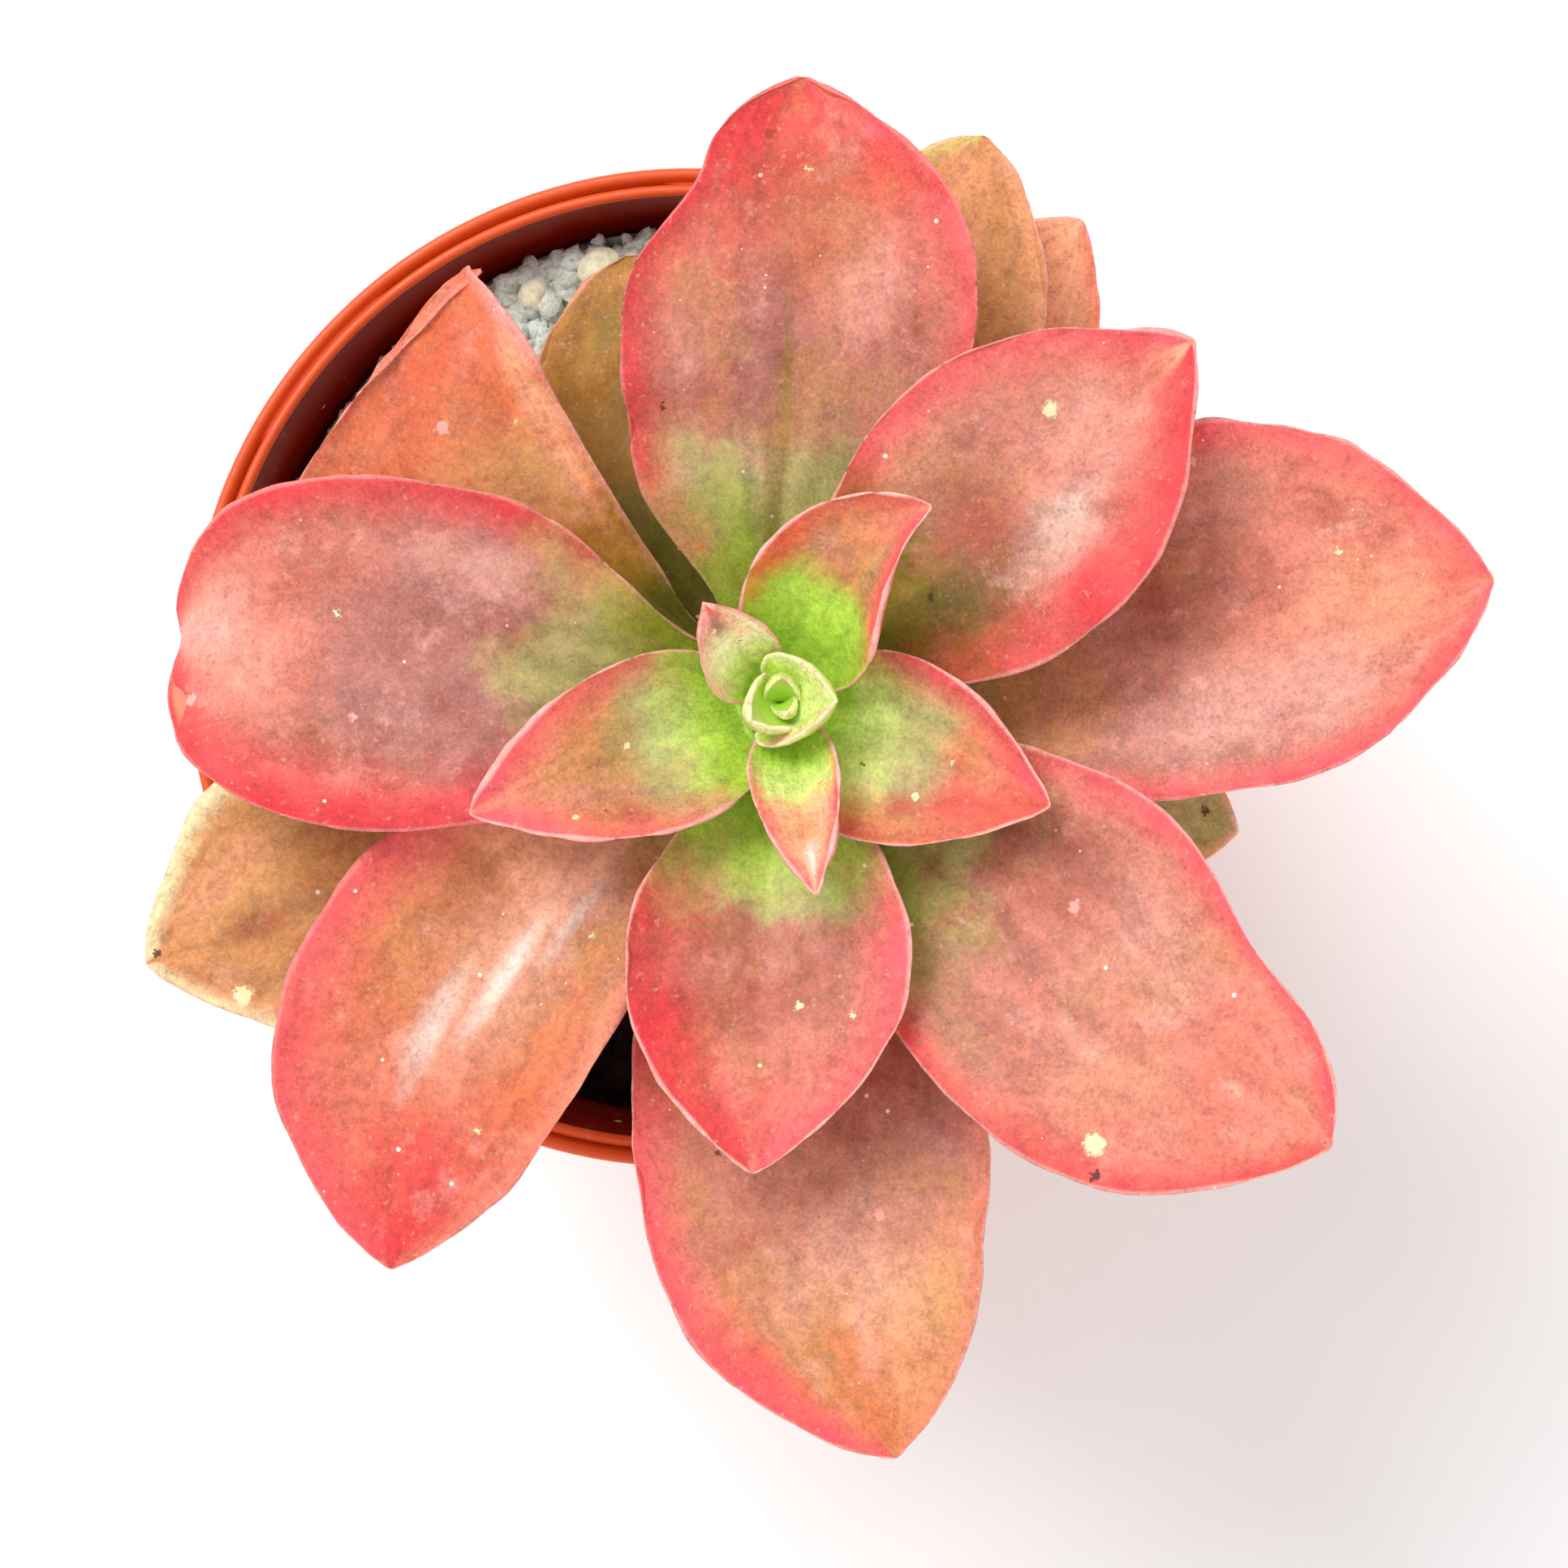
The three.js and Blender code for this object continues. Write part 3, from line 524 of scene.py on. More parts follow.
LOOKS = {
    "outer_leaf_1": Look(
        base="green", neck="sage", middle="mauve", end="salmon", reach=0.26, turn=0.42,
        left=("crimson", 4.2, 1.0), right=("crimson", 2.8, 0.9), rim=0.5, bloom=0.5, gold=0.2,
        patches=(
            Patch(0.55, 0.1, 0.2, 0.55, "plum", 0.35),
            Patch(0.9, -0.1, 0.14, 0.6, "dusty_pink", 0.6),
            Patch(0.97, 0.5, 0.1, 0.5, "hot_pink", 0.7),
            Patch(0.45, -0.6, 0.14, 0.3, "dusty_pink", 0.5),
            Patch(0.72, -0.45, 0.07, 0.3, "rust", 0.35),
            Patch(0.3, -0.1, 0.1, 0.5, "sage", 0.4),
        ),
        scabs=((0.62, 0.35, 0.5, "blush"), (0.9, 0.6, 0.8, "blush"), (0.66, -0.2, 0.4, "cream")),
    ),
    "outer_leaf_2": Look(
        base="green", neck="sage", middle="rose", end="salmon", reach=0.3, turn=0.4,
        left=("hot_pink", 2.4, 0.9), right=("crimson", 2.0, 0.85), rim=0.8, mottle=("rust", 0.4),
        bloom=0.6,
        patches=(
            Patch(0.3, -0.55, 0.2, 0.5, "green", 0.8),
            Patch(0.42, 0.2, 0.14, 0.6, "rust", 0.45),
            Patch(0.9, -0.1, 0.14, 0.7, "salmon", 0.45),
            Patch(0.64, 0.3, 0.12, 0.4, "dusty_pink", 0.4),
            Patch(0.7, -0.4, 0.12, 0.4, "peach", 0.35),
        ),
        # the first, cream scab on the margin is partly a scab and partly a painted highlight on the lip
        scabs=((0.74, -0.78, 1.2, "cream"), (0.77, -0.92, 0.6, "bark"), (0.5, 0.15, 0.7, "blush")),
    ),
    "outer_leaf_3": Look(
        base="lime", neck="sage", middle="rose", end="coral", reach=0.3, turn=0.46,
        left=("crimson", 2.8, 0.9), right=("hot_pink", 2.0, 0.9), groove=1.0, bloom=0.4, gold=0.45,
        patches=(
            Patch(0.56, 0.12, 0.24, 0.3, "plum", 0.45),
            Patch(0.62, -0.4, 0.16, 0.3, "dusty_pink", 0.4),
            Patch(0.74, -0.2, 0.16, 0.4, "tan", 0.45),
            Patch(0.88, 0.5, 0.12, 0.5, "crimson", 0.7),
            Patch(0.95, 0.1, 0.12, 1.0, "crimson", 0.6),
            Patch(0.8, 0.1, 0.1, 0.6, "rust", 0.4),
            Patch(0.2, 0.4, 0.12, 0.5, "lime", 0.8),
            # painted shade: a narrow dark olive line along the deep midrib groove
            Patch(0.42, 0.0, 0.26, 0.055, "olive", 0.75),
        ),
        scabs=((0.9, 0.3, 0.55, "rust"), (0.43, 0.75, 0.35, "bark"), (0.84, -0.1, 0.35, "cream")),
    ),
    "outer_leaf_4": Look(
        base="green", neck="peach", middle="tan", end="coral", reach=0.28, turn=0.42,
        left=("salmon", 2.2, 0.85), right=("hot_pink", 3.0, 0.85), bloom=0.4, groove=-0.6, gold=0.2,
        patches=(
            Patch(0.32, 0.0, 0.14, 0.5, "dusty_pink", 0.5),
            Patch(0.52, -0.08, 0.28, 0.4, "dusty_pink", 0.45),
            # a painted highlight: a narrow pearl streak along the raised midrib
            Patch(0.4, 0.08, 0.12, 0.08, "pearl", 0.75),
            Patch(0.53, -0.09, 0.14, 0.09, "pearl", 0.85),
            Patch(0.66, -0.27, 0.14, 0.1, "pearl", 0.75),
            Patch(0.78, -0.45, 0.16, 0.4, "salmon", 0.5),
            Patch(0.6, 0.6, 0.2, 0.4, "orange", 0.55),
            Patch(0.95, 0.1, 0.15, 1.0, "crimson", 0.8),
            Patch(0.45, -0.5, 0.12, 0.4, "rust", 0.5),
        ),
        scabs=((0.75, 0.35, 0.35, "cream"), (0.4, 0.3, 0.35, "cream")),
    ),
    "outer_leaf_5": Look(
        base="sage", neck="tan", middle="rose", end="salmon", reach=0.3, turn=0.48,
        left=("hot_pink", 2.2, 0.85), right=("hot_pink", 2.0, 0.85), rim=0.7, bloom=0.5,
        patches=(
            Patch(0.66, -0.55, 0.25, 0.45, "dusty_pink", 0.6),
            Patch(0.85, -0.1, 0.15, 0.5, "peach", 0.45),
            Patch(0.58, 0.2, 0.18, 0.35, "rust", 0.55),
            Patch(0.97, 0.2, 0.08, 0.6, "coral", 0.6),
        ),
        scabs=((0.62, 0.8, 0.5, "blush"), (0.8, 0.3, 0.4, "cream")),
    ),
    "outer_leaf_6": Look(
        base="moss", neck="ochre", middle="tan", end="coral", reach=0.34, turn=0.5,
        left=("salmon", 2.0, 0.6), right=("blush", 1.6, 0.6), mottle=("orange", 0.5), bloom=0.3,
        patches=(
            Patch(0.64, -0.6, 0.34, 0.4, "peach", 1.0),
            Patch(0.85, -0.15, 0.2, 0.3, "orange", 1.0),
            Patch(0.95, 0.0, 0.12, 1.0, "orange", 0.8),
            Patch(0.62, 0.6, 0.2, 0.5, "orange", 0.6),
            Patch(0.55, -0.2, 0.1, 0.4, "gold", 0.5),
        ),
        scabs=((0.7, 0.2, 0.9, "dusty_pink"), (0.66, -0.2, 0.4, "cream")),
    ),
    "outer_leaf_7": Look(
        base="green", neck="olive", middle="rose", end="tan", reach=0.38, turn=0.5,
        left=("salmon", 1.8, 0.8), right=("hot_pink", 2.8, 0.95), rim=0.7, bloom=0.45, gold=0.4,
        patches=(
            Patch(0.46, 0.0, 0.13, 1.1, "rust", 0.85),
            Patch(0.92, 0.0, 0.12, 0.7, "orange", 0.65),
            Patch(0.84, 0.3, 0.12, 0.5, "peach", 0.5),
            Patch(0.72, 0.1, 0.12, 0.6, "dusty_pink", 0.4),
            Patch(0.6, 0.75, 0.12, 0.4, "plum", 0.35),
            Patch(0.85, -0.8, 0.12, 0.35, "crimson", 0.7),
        ),
        scabs=((0.68, 0.3, 0.8, "blush"), (0.55, -0.5, 0.35, "bark")),
    ),
    "inner_leaf_1": Look(
        base="leaf_lime", neck="sage", middle="rose", end="salmon", reach=0.38, turn=0.5,
        left=("hot_pink", 3.0, 0.95), right=("crimson", 5.0, 1.0), rim=0.9, bloom=0.2, gold=0.35,
        patches=(
            Patch(0.3, 0.0, 0.12, 0.9, "leaf_lime", 0.5),
            Patch(0.46, -0.4, 0.06, 0.5, "rust", 0.5),
            Patch(0.62, 0.0, 0.14, 0.8, "rust", 0.6),
            Patch(0.9, 0.0, 0.16, 0.9, "crimson", 0.5),
            Patch(0.7, -0.65, 0.16, 0.3, "crimson", 0.8),
        ),
        scabs=((0.63, 0.25, 0.5, "cream"), (0.66, 0.65, 0.4, "cream")),
    ),
    "inner_leaf_2": Look(
        base="moss", neck="olive", middle="rose", end="salmon", reach=0.3, turn=0.44,
        left=("hot_pink", 3.0, 0.95), right=("crimson", 4.2, 1.0), rim=0.7, mottle=("rust", 0.55),
        bloom=0.6,
        patches=(
            Patch(0.36, -0.4, 0.16, 0.5, "moss", 0.75),
            Patch(0.47, 0.0, 0.1, 0.35, "rust", 0.65),
            Patch(0.6, -0.35, 0.14, 0.3, "pearl", 0.5),
            Patch(0.58, -0.75, 0.1, 0.25, "crimson", 0.8),
            Patch(0.75, 0.1, 0.16, 0.6, "dusty_pink", 0.4),
            Patch(0.98, 0.0, 0.05, 1.0, "peach", 0.7),
            Patch(0.42, 0.6, 0.16, 0.3, "peach", 0.5),
        ),
        scabs=((0.3, -0.15, 0.4, "bark"), (0.72, 0.3, 0.9, "cream")),
    ),
    "young_leaf_1": Look(
        base="leaf_lime", neck="pale_lime", middle="cream", end="hot_pink", under="sage",
        reach=0.3, turn=0.55,
        left=("blush", 0.9, 0.9), right=("cream", 0.8, 0.9), rim=0.9, bloom=0.3,
        patches=(
            Patch(0.78, 0.1, 0.14, 0.5, "plum", 0.75),
            Patch(0.6, -0.5, 0.14, 0.4, "peach", 0.5),
        ),
        scabs=((0.5, -0.1, 0.25, "rust"), (0.75, 0.3, 0.35, "cream")),
    ),
    "young_leaf_2": Look(
        base="leaf_lime", neck="pale_lime", middle="peach", end="peach", under="sage", reach=0.38, turn=0.55,
        left=("hot_pink", 0.9, 0.95), right=("hot_pink", 0.9, 0.95), rim=1.0, bloom=0.5,
        patches=(
            Patch(0.72, -0.1, 0.2, 0.5, "tan", 0.5),
            Patch(0.85, 0.1, 0.12, 0.4, "pearl", 0.8),
        ),
    ),
    "young_leaf_3": Look(
        base="leaf_lime", neck="leaf_lime", middle="tan", end="salmon", under="sage", reach=0.36, turn=0.6,
        left=("coral", 1.8, 0.8), right=("hot_pink", 1.7, 0.95), rim=1.0, bloom=0.4,
        patches=(
            Patch(0.62, 0.1, 0.14, 0.5, "rose", 0.5),
            Patch(0.5, 0.75, 0.2, 0.35, "orange", 0.75),
            Patch(0.7, -0.5, 0.2, 0.3, "sage", 0.5),
        ),
    ),
    "young_leaf_4": Look(
        base="leaf_lime", neck="sage", middle="tan", end="salmon", under="sage", reach=0.36, turn=0.56,
        left=("hot_pink", 2.2, 0.95), right=("hot_pink", 2.4, 0.95), rim=0.8, bloom=0.3, gold=0.4,
        patches=(
            Patch(0.6, 0.35, 0.2, 0.3, "rose", 0.6),
            Patch(0.25, -0.1, 0.16, 0.6, "pale_lime", 0.6),
            Patch(0.52, 0.62, 0.08, 0.2, "rust", 0.6),
        ),
        scabs=((0.45, -0.1, 0.4, "cream"), (0.6, 0.55, 0.3, "rust"), (0.7, 0.6, 0.3, "cream")),
    ),
    "young_leaf_5": Look(
        base="leaf_lime", neck="pale_lime", middle="sage", end="coral", under="sage", reach=0.26, turn=0.5,
        left=("hot_pink", 2.4, 0.95), right=("coral", 3.0, 0.95), rim=0.9, bloom=0.5,
        patches=(
            Patch(0.68, 0.0, 0.14, 0.7, "coral", 0.6),
            Patch(0.7, -0.45, 0.22, 0.4, "crimson", 0.75),
            Patch(0.52, -0.55, 0.1, 0.18, "rust", 0.8),
        ),
        scabs=((0.3, -0.25, 0.3, "bark"), (0.55, -0.4, 0.5, "cream"), (0.62, 0.1, 0.3, "cream")),
    ),
    "core_leaf_1": core_look(right=("blush", 0.7, 0.8), close=(0.7, 0.1)),
    "core_leaf_2": core_look(close=(0.7, 0.2)),
    "core_leaf_3": core_look(close=(0.8, 0.4), **INNERMOST),
    "core_leaf_4": core_look(close=(0.8, 0.45), **INNERMOST),
    "old_leaf_1": Look(
        base="olive", neck="ochre", middle="gold", end="tan", reach=0.4, turn=0.6,
        left=("pale_lime", 1.4, 0.7), right=("peach", 1.6, 0.6), mottle=("tan", 0.35), bloom=0.1,
        gold=0.6, patches=(Patch(0.9, 0.3, 0.2, 0.6, "peach", 0.5),),
    ),
    "old_leaf_2": Look(
        base="olive", neck="ochre", middle="gold", end="tan", reach=0.4, turn=0.6,
        left=("cream", 1.2, 0.7), right=("cream", 1.8, 0.9), mottle=("rust", 0.5), bloom=0.2,
        gold=0.5,
        patches=(
            Patch(0.85, -0.4, 0.16, 0.3, "peach", 0.5),
            Patch(0.7, 0.3, 0.2, 0.5, "tan", 0.4),
            Patch(0.8, 0.1, 0.06, 0.14, "rust", 0.9),
        ),
        scabs=((0.88, 0.72, 1.2, "cream"), (0.985, -0.2, 0.5, "bark")),
    ),
    "old_leaf_3": Look(
        base="moss", neck="sage", middle="sage", end="sage", reach=0.5, turn=0.8,
        left=("blush", 0.8, 0.5), right=("peach", 1.0, 0.6), mottle=("tan", 0.4), bloom=0.2,
        scabs=((0.93, 0.2, 0.6, "bark"),),
    ),
    "old_leaf_4": Look(
        base="moss", neck="ochre", middle="ochre", end="ochre", reach=0.5, turn=0.75,
        left=("tan", 1.8, 0.6), right=("salmon", 1.6, 0.5), mottle=("olive", 0.6), bloom=0.0, gold=0.0,
        patches=(
            Patch(0.97, 0.3, 0.07, 0.6, "tan", 0.6),
            Patch(0.55, 0.0, 0.2, 0.8, "moss", 0.5),
        ),
        scabs=((0.86, -0.05, 1.0, "bark"),),
    ),
    "old_leaf_5": Look(
        base="olive", neck="ochre", middle="peach", end="peach", reach=0.4, turn=0.6,
        left=("peach", 1.5, 0.6), right=("coral", 1.4, 0.7), mottle=("coral", 0.3), bloom=0.3,
        patches=(Patch(0.86, 0.1, 0.16, 0.6, "peach", 0.5),),
    ),
}


def tip_pole(cage):
    """The vertex at a leaf's tip: of those that meet a whole ring, the farthest from the stem's foot."""
    low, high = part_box("stem")
    foot = Vector(((low.x + high.x) / 2, (low.y + high.y) / 2, LIP))
    poles = [v for v in cage.verts if len(v.link_edges) == RING_POINTS]
    if not poles:
        raise RuntimeError("a leaf's mesh has no pole that a whole ring meets")
    return max(poles, key=lambda v: (v.co - foot).length)


def ring_round(pole):
    """The ring round the tip pole, in the order of its faces."""
    following = {}
    for face in pole.link_faces:
        others = [loop.vert for loop in face.loops]
        start = others.index(pole)
        following[others[(start + 1) % 3]] = others[(start + 2) % 3]
    ring = [next(iter(following))]
    while len(ring) < RING_POINTS:
        ring.append(following[ring[-1]])
    return ring


def next_ring(ring, done):
    """The ring nearer the base: each of its vertices meets two neighbours of the ring before."""
    nearer = []
    for i, here in enumerate(ring):
        there = ring[(i + 1) % len(ring)]
        fresh = [edge.other_vert(here) for edge in here.link_edges]
        fresh = [v for v in fresh if v not in done]
        if there is here:
            beside = (ring[i - 1], ring[(i + 2) % len(ring)])
            taken = {edge.other_vert(v) for v in beside for edge in v.link_edges}
            found = [v for v in fresh if v not in taken]
        else:
            near = {edge.other_vert(there) for edge in there.link_edges}
            found = [v for v in fresh if v in near]
        if not found:
            return []
        nearer.append(found[0])
    return nearer[-1:] + nearer[:-1]


def leaf_rings(cage):
    """A leaf's tip, its rings from base to tip, each from the left margin over the top, and its base."""
    pole = tip_pole(cage)
    rings = [ring_round(pole)]
    done = {pole, *rings[0]}
    while True:
        ring = next_ring(rings[-1], done)
        if len(set(ring)) < HALF_RING:
            break
        rings.append(ring)
        done.update(ring)
    rings.reverse()
    wide = [sum((r[k].co - r[k + HALF_RING].co).length for r in rings) for k in range(HALF_RING)]
    first = wide.index(max(wide))
    rings = [r[first:] + r[:first] for r in rings]

    def outer_gaps(start):
        ends = ((start, start + 1), (start + HALF_RING - 1, start + HALF_RING))
        return sum((r[a].co - r[b % RING_POINTS].co).length for r in rings for a, b in ends)

    if outer_gaps(0) < outer_gaps(HALF_RING):
        rings = [r[HALF_RING:] + r[:HALF_RING] for r in rings]
    bases = [v for v in cage.verts if v not in done]
    return pole, rings, bases


def mark_leaf(piece):
    """Writes each vertex's place on the leaf as attributes, and returns the margin edges and the diagonals
    that split its grid of quads.
    """
    cage = bmesh.new()
    cage.from_mesh(piece.data)
    cage.verts.ensure_lookup_table()
    tip, rings, bases = leaf_rings(cage)
    if len(rings) < LEAF_RINGS:
        raise RuntimeError(f"{piece.name} has {len(rings)} rings and should have {LEAF_RINGS}")
    total = len(cage.verts)
    place = np.zeros((total, 3))
    edge = np.zeros(total)
    centres = [sum((v.co for v in ring), Vector()) / len(ring) for ring in rings]
    run = [0.0]
    for before, after in zip(centres, centres[1:]):
        run.append(run[-1] + (after - before).length)
    across = UPPER_PLACES + LOWER_PLACES
    for ring, done in zip(rings, run):
        gaps = [(a.co - b.co).length for a, b in zip(ring, ring[1:] + ring[:1])]
        half = sum(gaps[:HALF_RING]) / 2
        for i, vertex in enumerate(ring):
            side = 0.5 if i in (0, HALF_RING) else float(i < HALF_RING)
            place[vertex.index] = (across[i], done / run[-1], side)
            edge[vertex.index] = half * (1 - abs(across[i]))
    place[tip.index] = (0, 1, 0.5)
    for base in bases:
        place[base.index] = (0, 0, 0.5)
    margin = set()
    cross = set()
    for before, after in zip(rings, rings[1:]):
        for i in range(RING_POINTS):
            far = before[(i + 1) % RING_POINTS]
            if far is not before[i] and after[i] is not after[i - 1]:
                cross.add(frozenset((far.index, after[i].index)))
        for i in (0, HALF_RING):
            margin.add(frozenset((before[i].index, after[i].index)))
    pairs = {frozenset((e.verts[0].index, e.verts[1].index)): e.index for e in cage.edges}
    cage.free()
    mesh = piece.data
    mesh.attributes.new("leaf_place", "FLOAT_VECTOR", "POINT").data.foreach_set("vector", place.ravel())
    mesh.attributes.new("leaf_edge", "FLOAT", "POINT").data.foreach_set("value", edge)
    return [pairs[p] for p in margin if p in pairs], [pairs[p] for p in cross if p in pairs]


def vertex_values(data, field, width=3):
    """One field of a mesh's vertices or of an attribute, as rows."""
    values = np.zeros(len(data) * width)
    data.foreach_get(field, values)
    return values.reshape(-1, width)


def move_vertices(piece, points):
    """Puts a piece's vertices at these points."""
    piece.data.vertices.foreach_set("co", points.ravel())
    piece.data.update()


def growing_point():
    """The top of the stem, where the youngest leaves form."""
    return max((v.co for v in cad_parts["stem"].data.vertices), key=lambda co: co.z)


def plain(values):
    """A plain tuple of numbers, as a socket takes it."""
    return tuple(float(x) for x in values)


def ease(values, start, end):
    """Runs smoothly from 0 to 1 as the values go from start to end."""
    share_done = np.clip((values - start) / (end - start), 0, 1)
    return share_done * share_done * (3 - 2 * share_done)


def sculpt_leaf(piece, look):
    """Presses the midrib in, or raises it where the groove is negative, and closes a core leaf inwards."""
    points = vertex_values(piece.data.vertices, "co")
    normals = vertex_values(piece.data.vertices, "normal")
    across, along, top = vertex_values(piece.data.attributes["leaf_place"].data, "vector").T
    groove = np.exp(-((across / GROOVE_WIDTH) ** 2))
    groove *= ease(along, *GROOVE_STARTS) * (1 - ease(along, *GROOVE_ENDS))
    points += normals * (-look.groove * MM * groove * (top > UPPER_FACE))[:, None]
    if any(look.close):
        centre = np.array(growing_point())[:2]
        middle = points[along > OUTER_HALF][:, :2].mean(axis=0)
        foot, tip = look.close
        inwards = foot + (tip - foot) * ease(along, 0, 1)
        widened = middle + (points[:, :2] - middle) * look.spread
        points[:, :2] = widened + (centre - middle) * inwards[:, None]
    move_vertices(piece, points)


def leaf_piece(name, settings):
    """One leaf: the CAD leaf's cage with soft flesh, round margins and a pressed midrib."""
    piece = copy_of_node(name, name + "_fine")
    margin, cross = mark_leaf(piece)
    select_in_edit(piece, "EDGE", margin)
    bpy.ops.transform.edge_crease(value=settings.margin_crease)
    finish_edit()
    select_in_edit(piece, "EDGE", cross)
    bpy.ops.mesh.dissolve_edges(use_verts=False)
    finish_edit()
    apply_modifier(piece, "SUBSURF", "Flesh", levels=settings.levels, render_levels=settings.levels)
    low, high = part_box(name)
    size = min(1.0, (high - low).length / FULL_LEAF)
    sculpt_leaf(piece, LOOKS[name])
    bumps(piece, "Wave", settings.wave * size, settings.wave_size, direction="Z")
    bumps(piece, "Swell", settings.swell * size, settings.swell_size * size)
    bumps(piece, "Dimples", settings.dimple * size, settings.dimple_size, depth=2)
    return piece


def leaf_finish(name, look, settings, seed):
    """The waxy skin: green at the base, flushed towards the tip, with bright margins."""
    r = Recipe(name + "_skin")
    place = r.attribute("leaf_place", "Vector")
    edge = r.attribute("leaf_edge")
    wander = r.noise(WANDER, 4, 0.65, seed, "Color")
    shift = r.vector("MULTIPLY", r.vector("SUBTRACT", wander, (0.5, 0.5, 0.5)), (0.7, 0.4, 0.0))
    moved = r.vector("ADD", place, shift)
    along = r.parts(moved)[1]
    sides, run, top = r.parts(place)

    tone = r.ramp(along, [
        (max(0.0, look.reach - 0.2), paint(look.base)),
        (look.reach, paint(look.neck)),
        (look.turn, paint(look.middle)),
        (0.97, paint(look.end)),
    ])

    # soft patches of other colours, whose outlines wander less where the patch is narrow
    for patch in look.patches:
        steady = min(1.0, 1.6 * patch.wide)
        near = r.vector("ADD", place, r.vector("MULTIPLY", shift, (steady, steady, 0.0)))
        reach = r.distance(near, (patch.across, patch.along, 0.0), (1 / patch.wide, 1 / patch.long, 0.0))
        tone = r.mix(r.fade(reach, 1.15, 0.1, 0.0, patch.strength), tone, paint(patch.tint))

    flushed = r.fade(along, look.reach - 0.12, look.turn, 0.15, 1.0)

    def blotches(tone, tint, marks, start, end, amount):
        """Lays marks of another colour over a tone, more of them past the neck."""
        shown = r.calc("MULTIPLY", r.fade(marks, start, end, 0.0, amount), flushed)
        return r.mix(shown, tone, paint(tint))

    # mottling: three colours in blotches with ragged outlines
    tint, amount = look.mottle
    tone = blotches(tone, tint, r.noise(8 * MM, 7, 0.68, seed + 3), 0.50, 0.66, amount)
    tone = blotches(tone, "gold", r.noise(10 * MM, 6, 0.66, seed + 21), 0.52, 0.64, look.gold)
    tone = blotches(tone, "dusty_pink", r.noise(6 * MM, 8, 0.74, seed + 5), 0.52, 0.68, look.bloom)

    # long soft streaks that follow the leaf, whose lighter and darker bands are painted light and shade of
    # creases
    fibres = r.vector("MULTIPLY", moved, (3.0, 0.55, 0.0))
    streak = r.noise(0.5, 5.0, 0.6, seed, place=fibres)

    # bright margins, each side with its own colour and width
    jitter = r.calc("SUBTRACT", r.noise(RAGGED, 5, 0.7, seed + 7), 0.5)
    ragged = r.calc("ADD", edge, r.calc("MULTIPLY", jitter, 4.5 * MM))
    power = r.fade(r.noise(14 * MM, 2, 0.5, seed + 9), 0.35, 0.6, 0.75, 1.0)
    awake = r.calc("MULTIPLY", power, r.fade(along, look.reach - 0.2, look.reach + 0.12))
    for sign, (tint, width, strength) in ((1, look.left), (-1, look.right)):
        on_side = r.fade(r.calc("MULTIPLY", sides, sign), 0.1, 0.35)
        band = r.fade(ragged, width * MM * BAND_FADE, 0.0, 0.0, strength)
        tone = r.mix(r.calc("MULTIPLY", r.calc("MULTIPLY", band, on_side), awake), tone, paint(tint))
    # the narrow pale line on the margin: partly the leaf's own pale edge, partly a painted edge highlight
    tone = r.mix(r.fade(edge, LIP_LINE, 0.1 * MM, 0.0, look.rim), tone, paint(look.lip))

    # the fine grain of the skin, with the long streaks' painted light and shade
    grain = r.noise(settings.grain_size, 2, 0.6, seed + 11)
    blotchy = r.noise(BLOTCH, 6, 0.75, seed + 13)
    light = r.calc("ADD", r.fade(grain, 0.3, 0.7, -0.13, 0.15), r.fade(blotchy, 0.32, 0.68, -0.15, 0.17))
    # the streaks lighten and darken the tone as painted light and shade
    light = r.calc("ADD", light, r.fade(streak, 0.3, 0.7, -0.16, 0.14))
    bright = {"Value": r.calc("ADD", light, 1.0), "Color": tone}
    tone = r.node("ShaderNodeHueSaturation", bright).outputs[0]
    tone = blotches(tone, "rust", r.noise(FRECKLE, 3, 0.7, seed + 15), 0.54, 0.70, 0.38)
    tone = blotches(tone, "dusty_pink", r.noise(PALE_FRECKLE, 3, 0.7, seed + 19), 0.58, 0.70, 0.4)

    # white dust of two sizes
    for channel, size, rare, most in ((0, DUST, 0.62, 0.95), (1, FINE_DUST, 0.64, 0.7)):
        dust = r.dots(size, seed + channel, (0.12, 0.07), rare, rare + 0.08, most, channel)
        tone = r.mix(dust, tone, linear("fff1e6"))

    # the underside is paler and plainer
    under = r.ramp(run, [(0.1, paint(look.neck)), (0.5, paint(look.under)), (0.95, paint(look.end))])
    under = r.mix(r.fade(blotchy, 0.35, 0.7, 0.0, 0.3), under, paint(look.neck))
    tone = r.mix(r.fade(top, 0.05, 0.35), under, tone)
    return r, tone, grain, r.calc("ADD", blotchy, r.calc("MULTIPLY", streak, 0.8))


def scab_places(piece, look):
    """Where a leaf's scabs lie: a point on the finished surface for each."""
    points = vertex_values(piece.data.vertices, "co")
    place = vertex_values(piece.data.attributes["leaf_place"].data, "vector")
    found = []
    for along, across, radius, tint in look.scabs:
        miss = (place[:, 0] - across) ** 2 + (3 * (place[:, 1] - along)) ** 2 + 9 * (place[:, 2] < 0.6)
        found.append((points[int(np.argmin(miss))], radius * MM, tint))
    return found


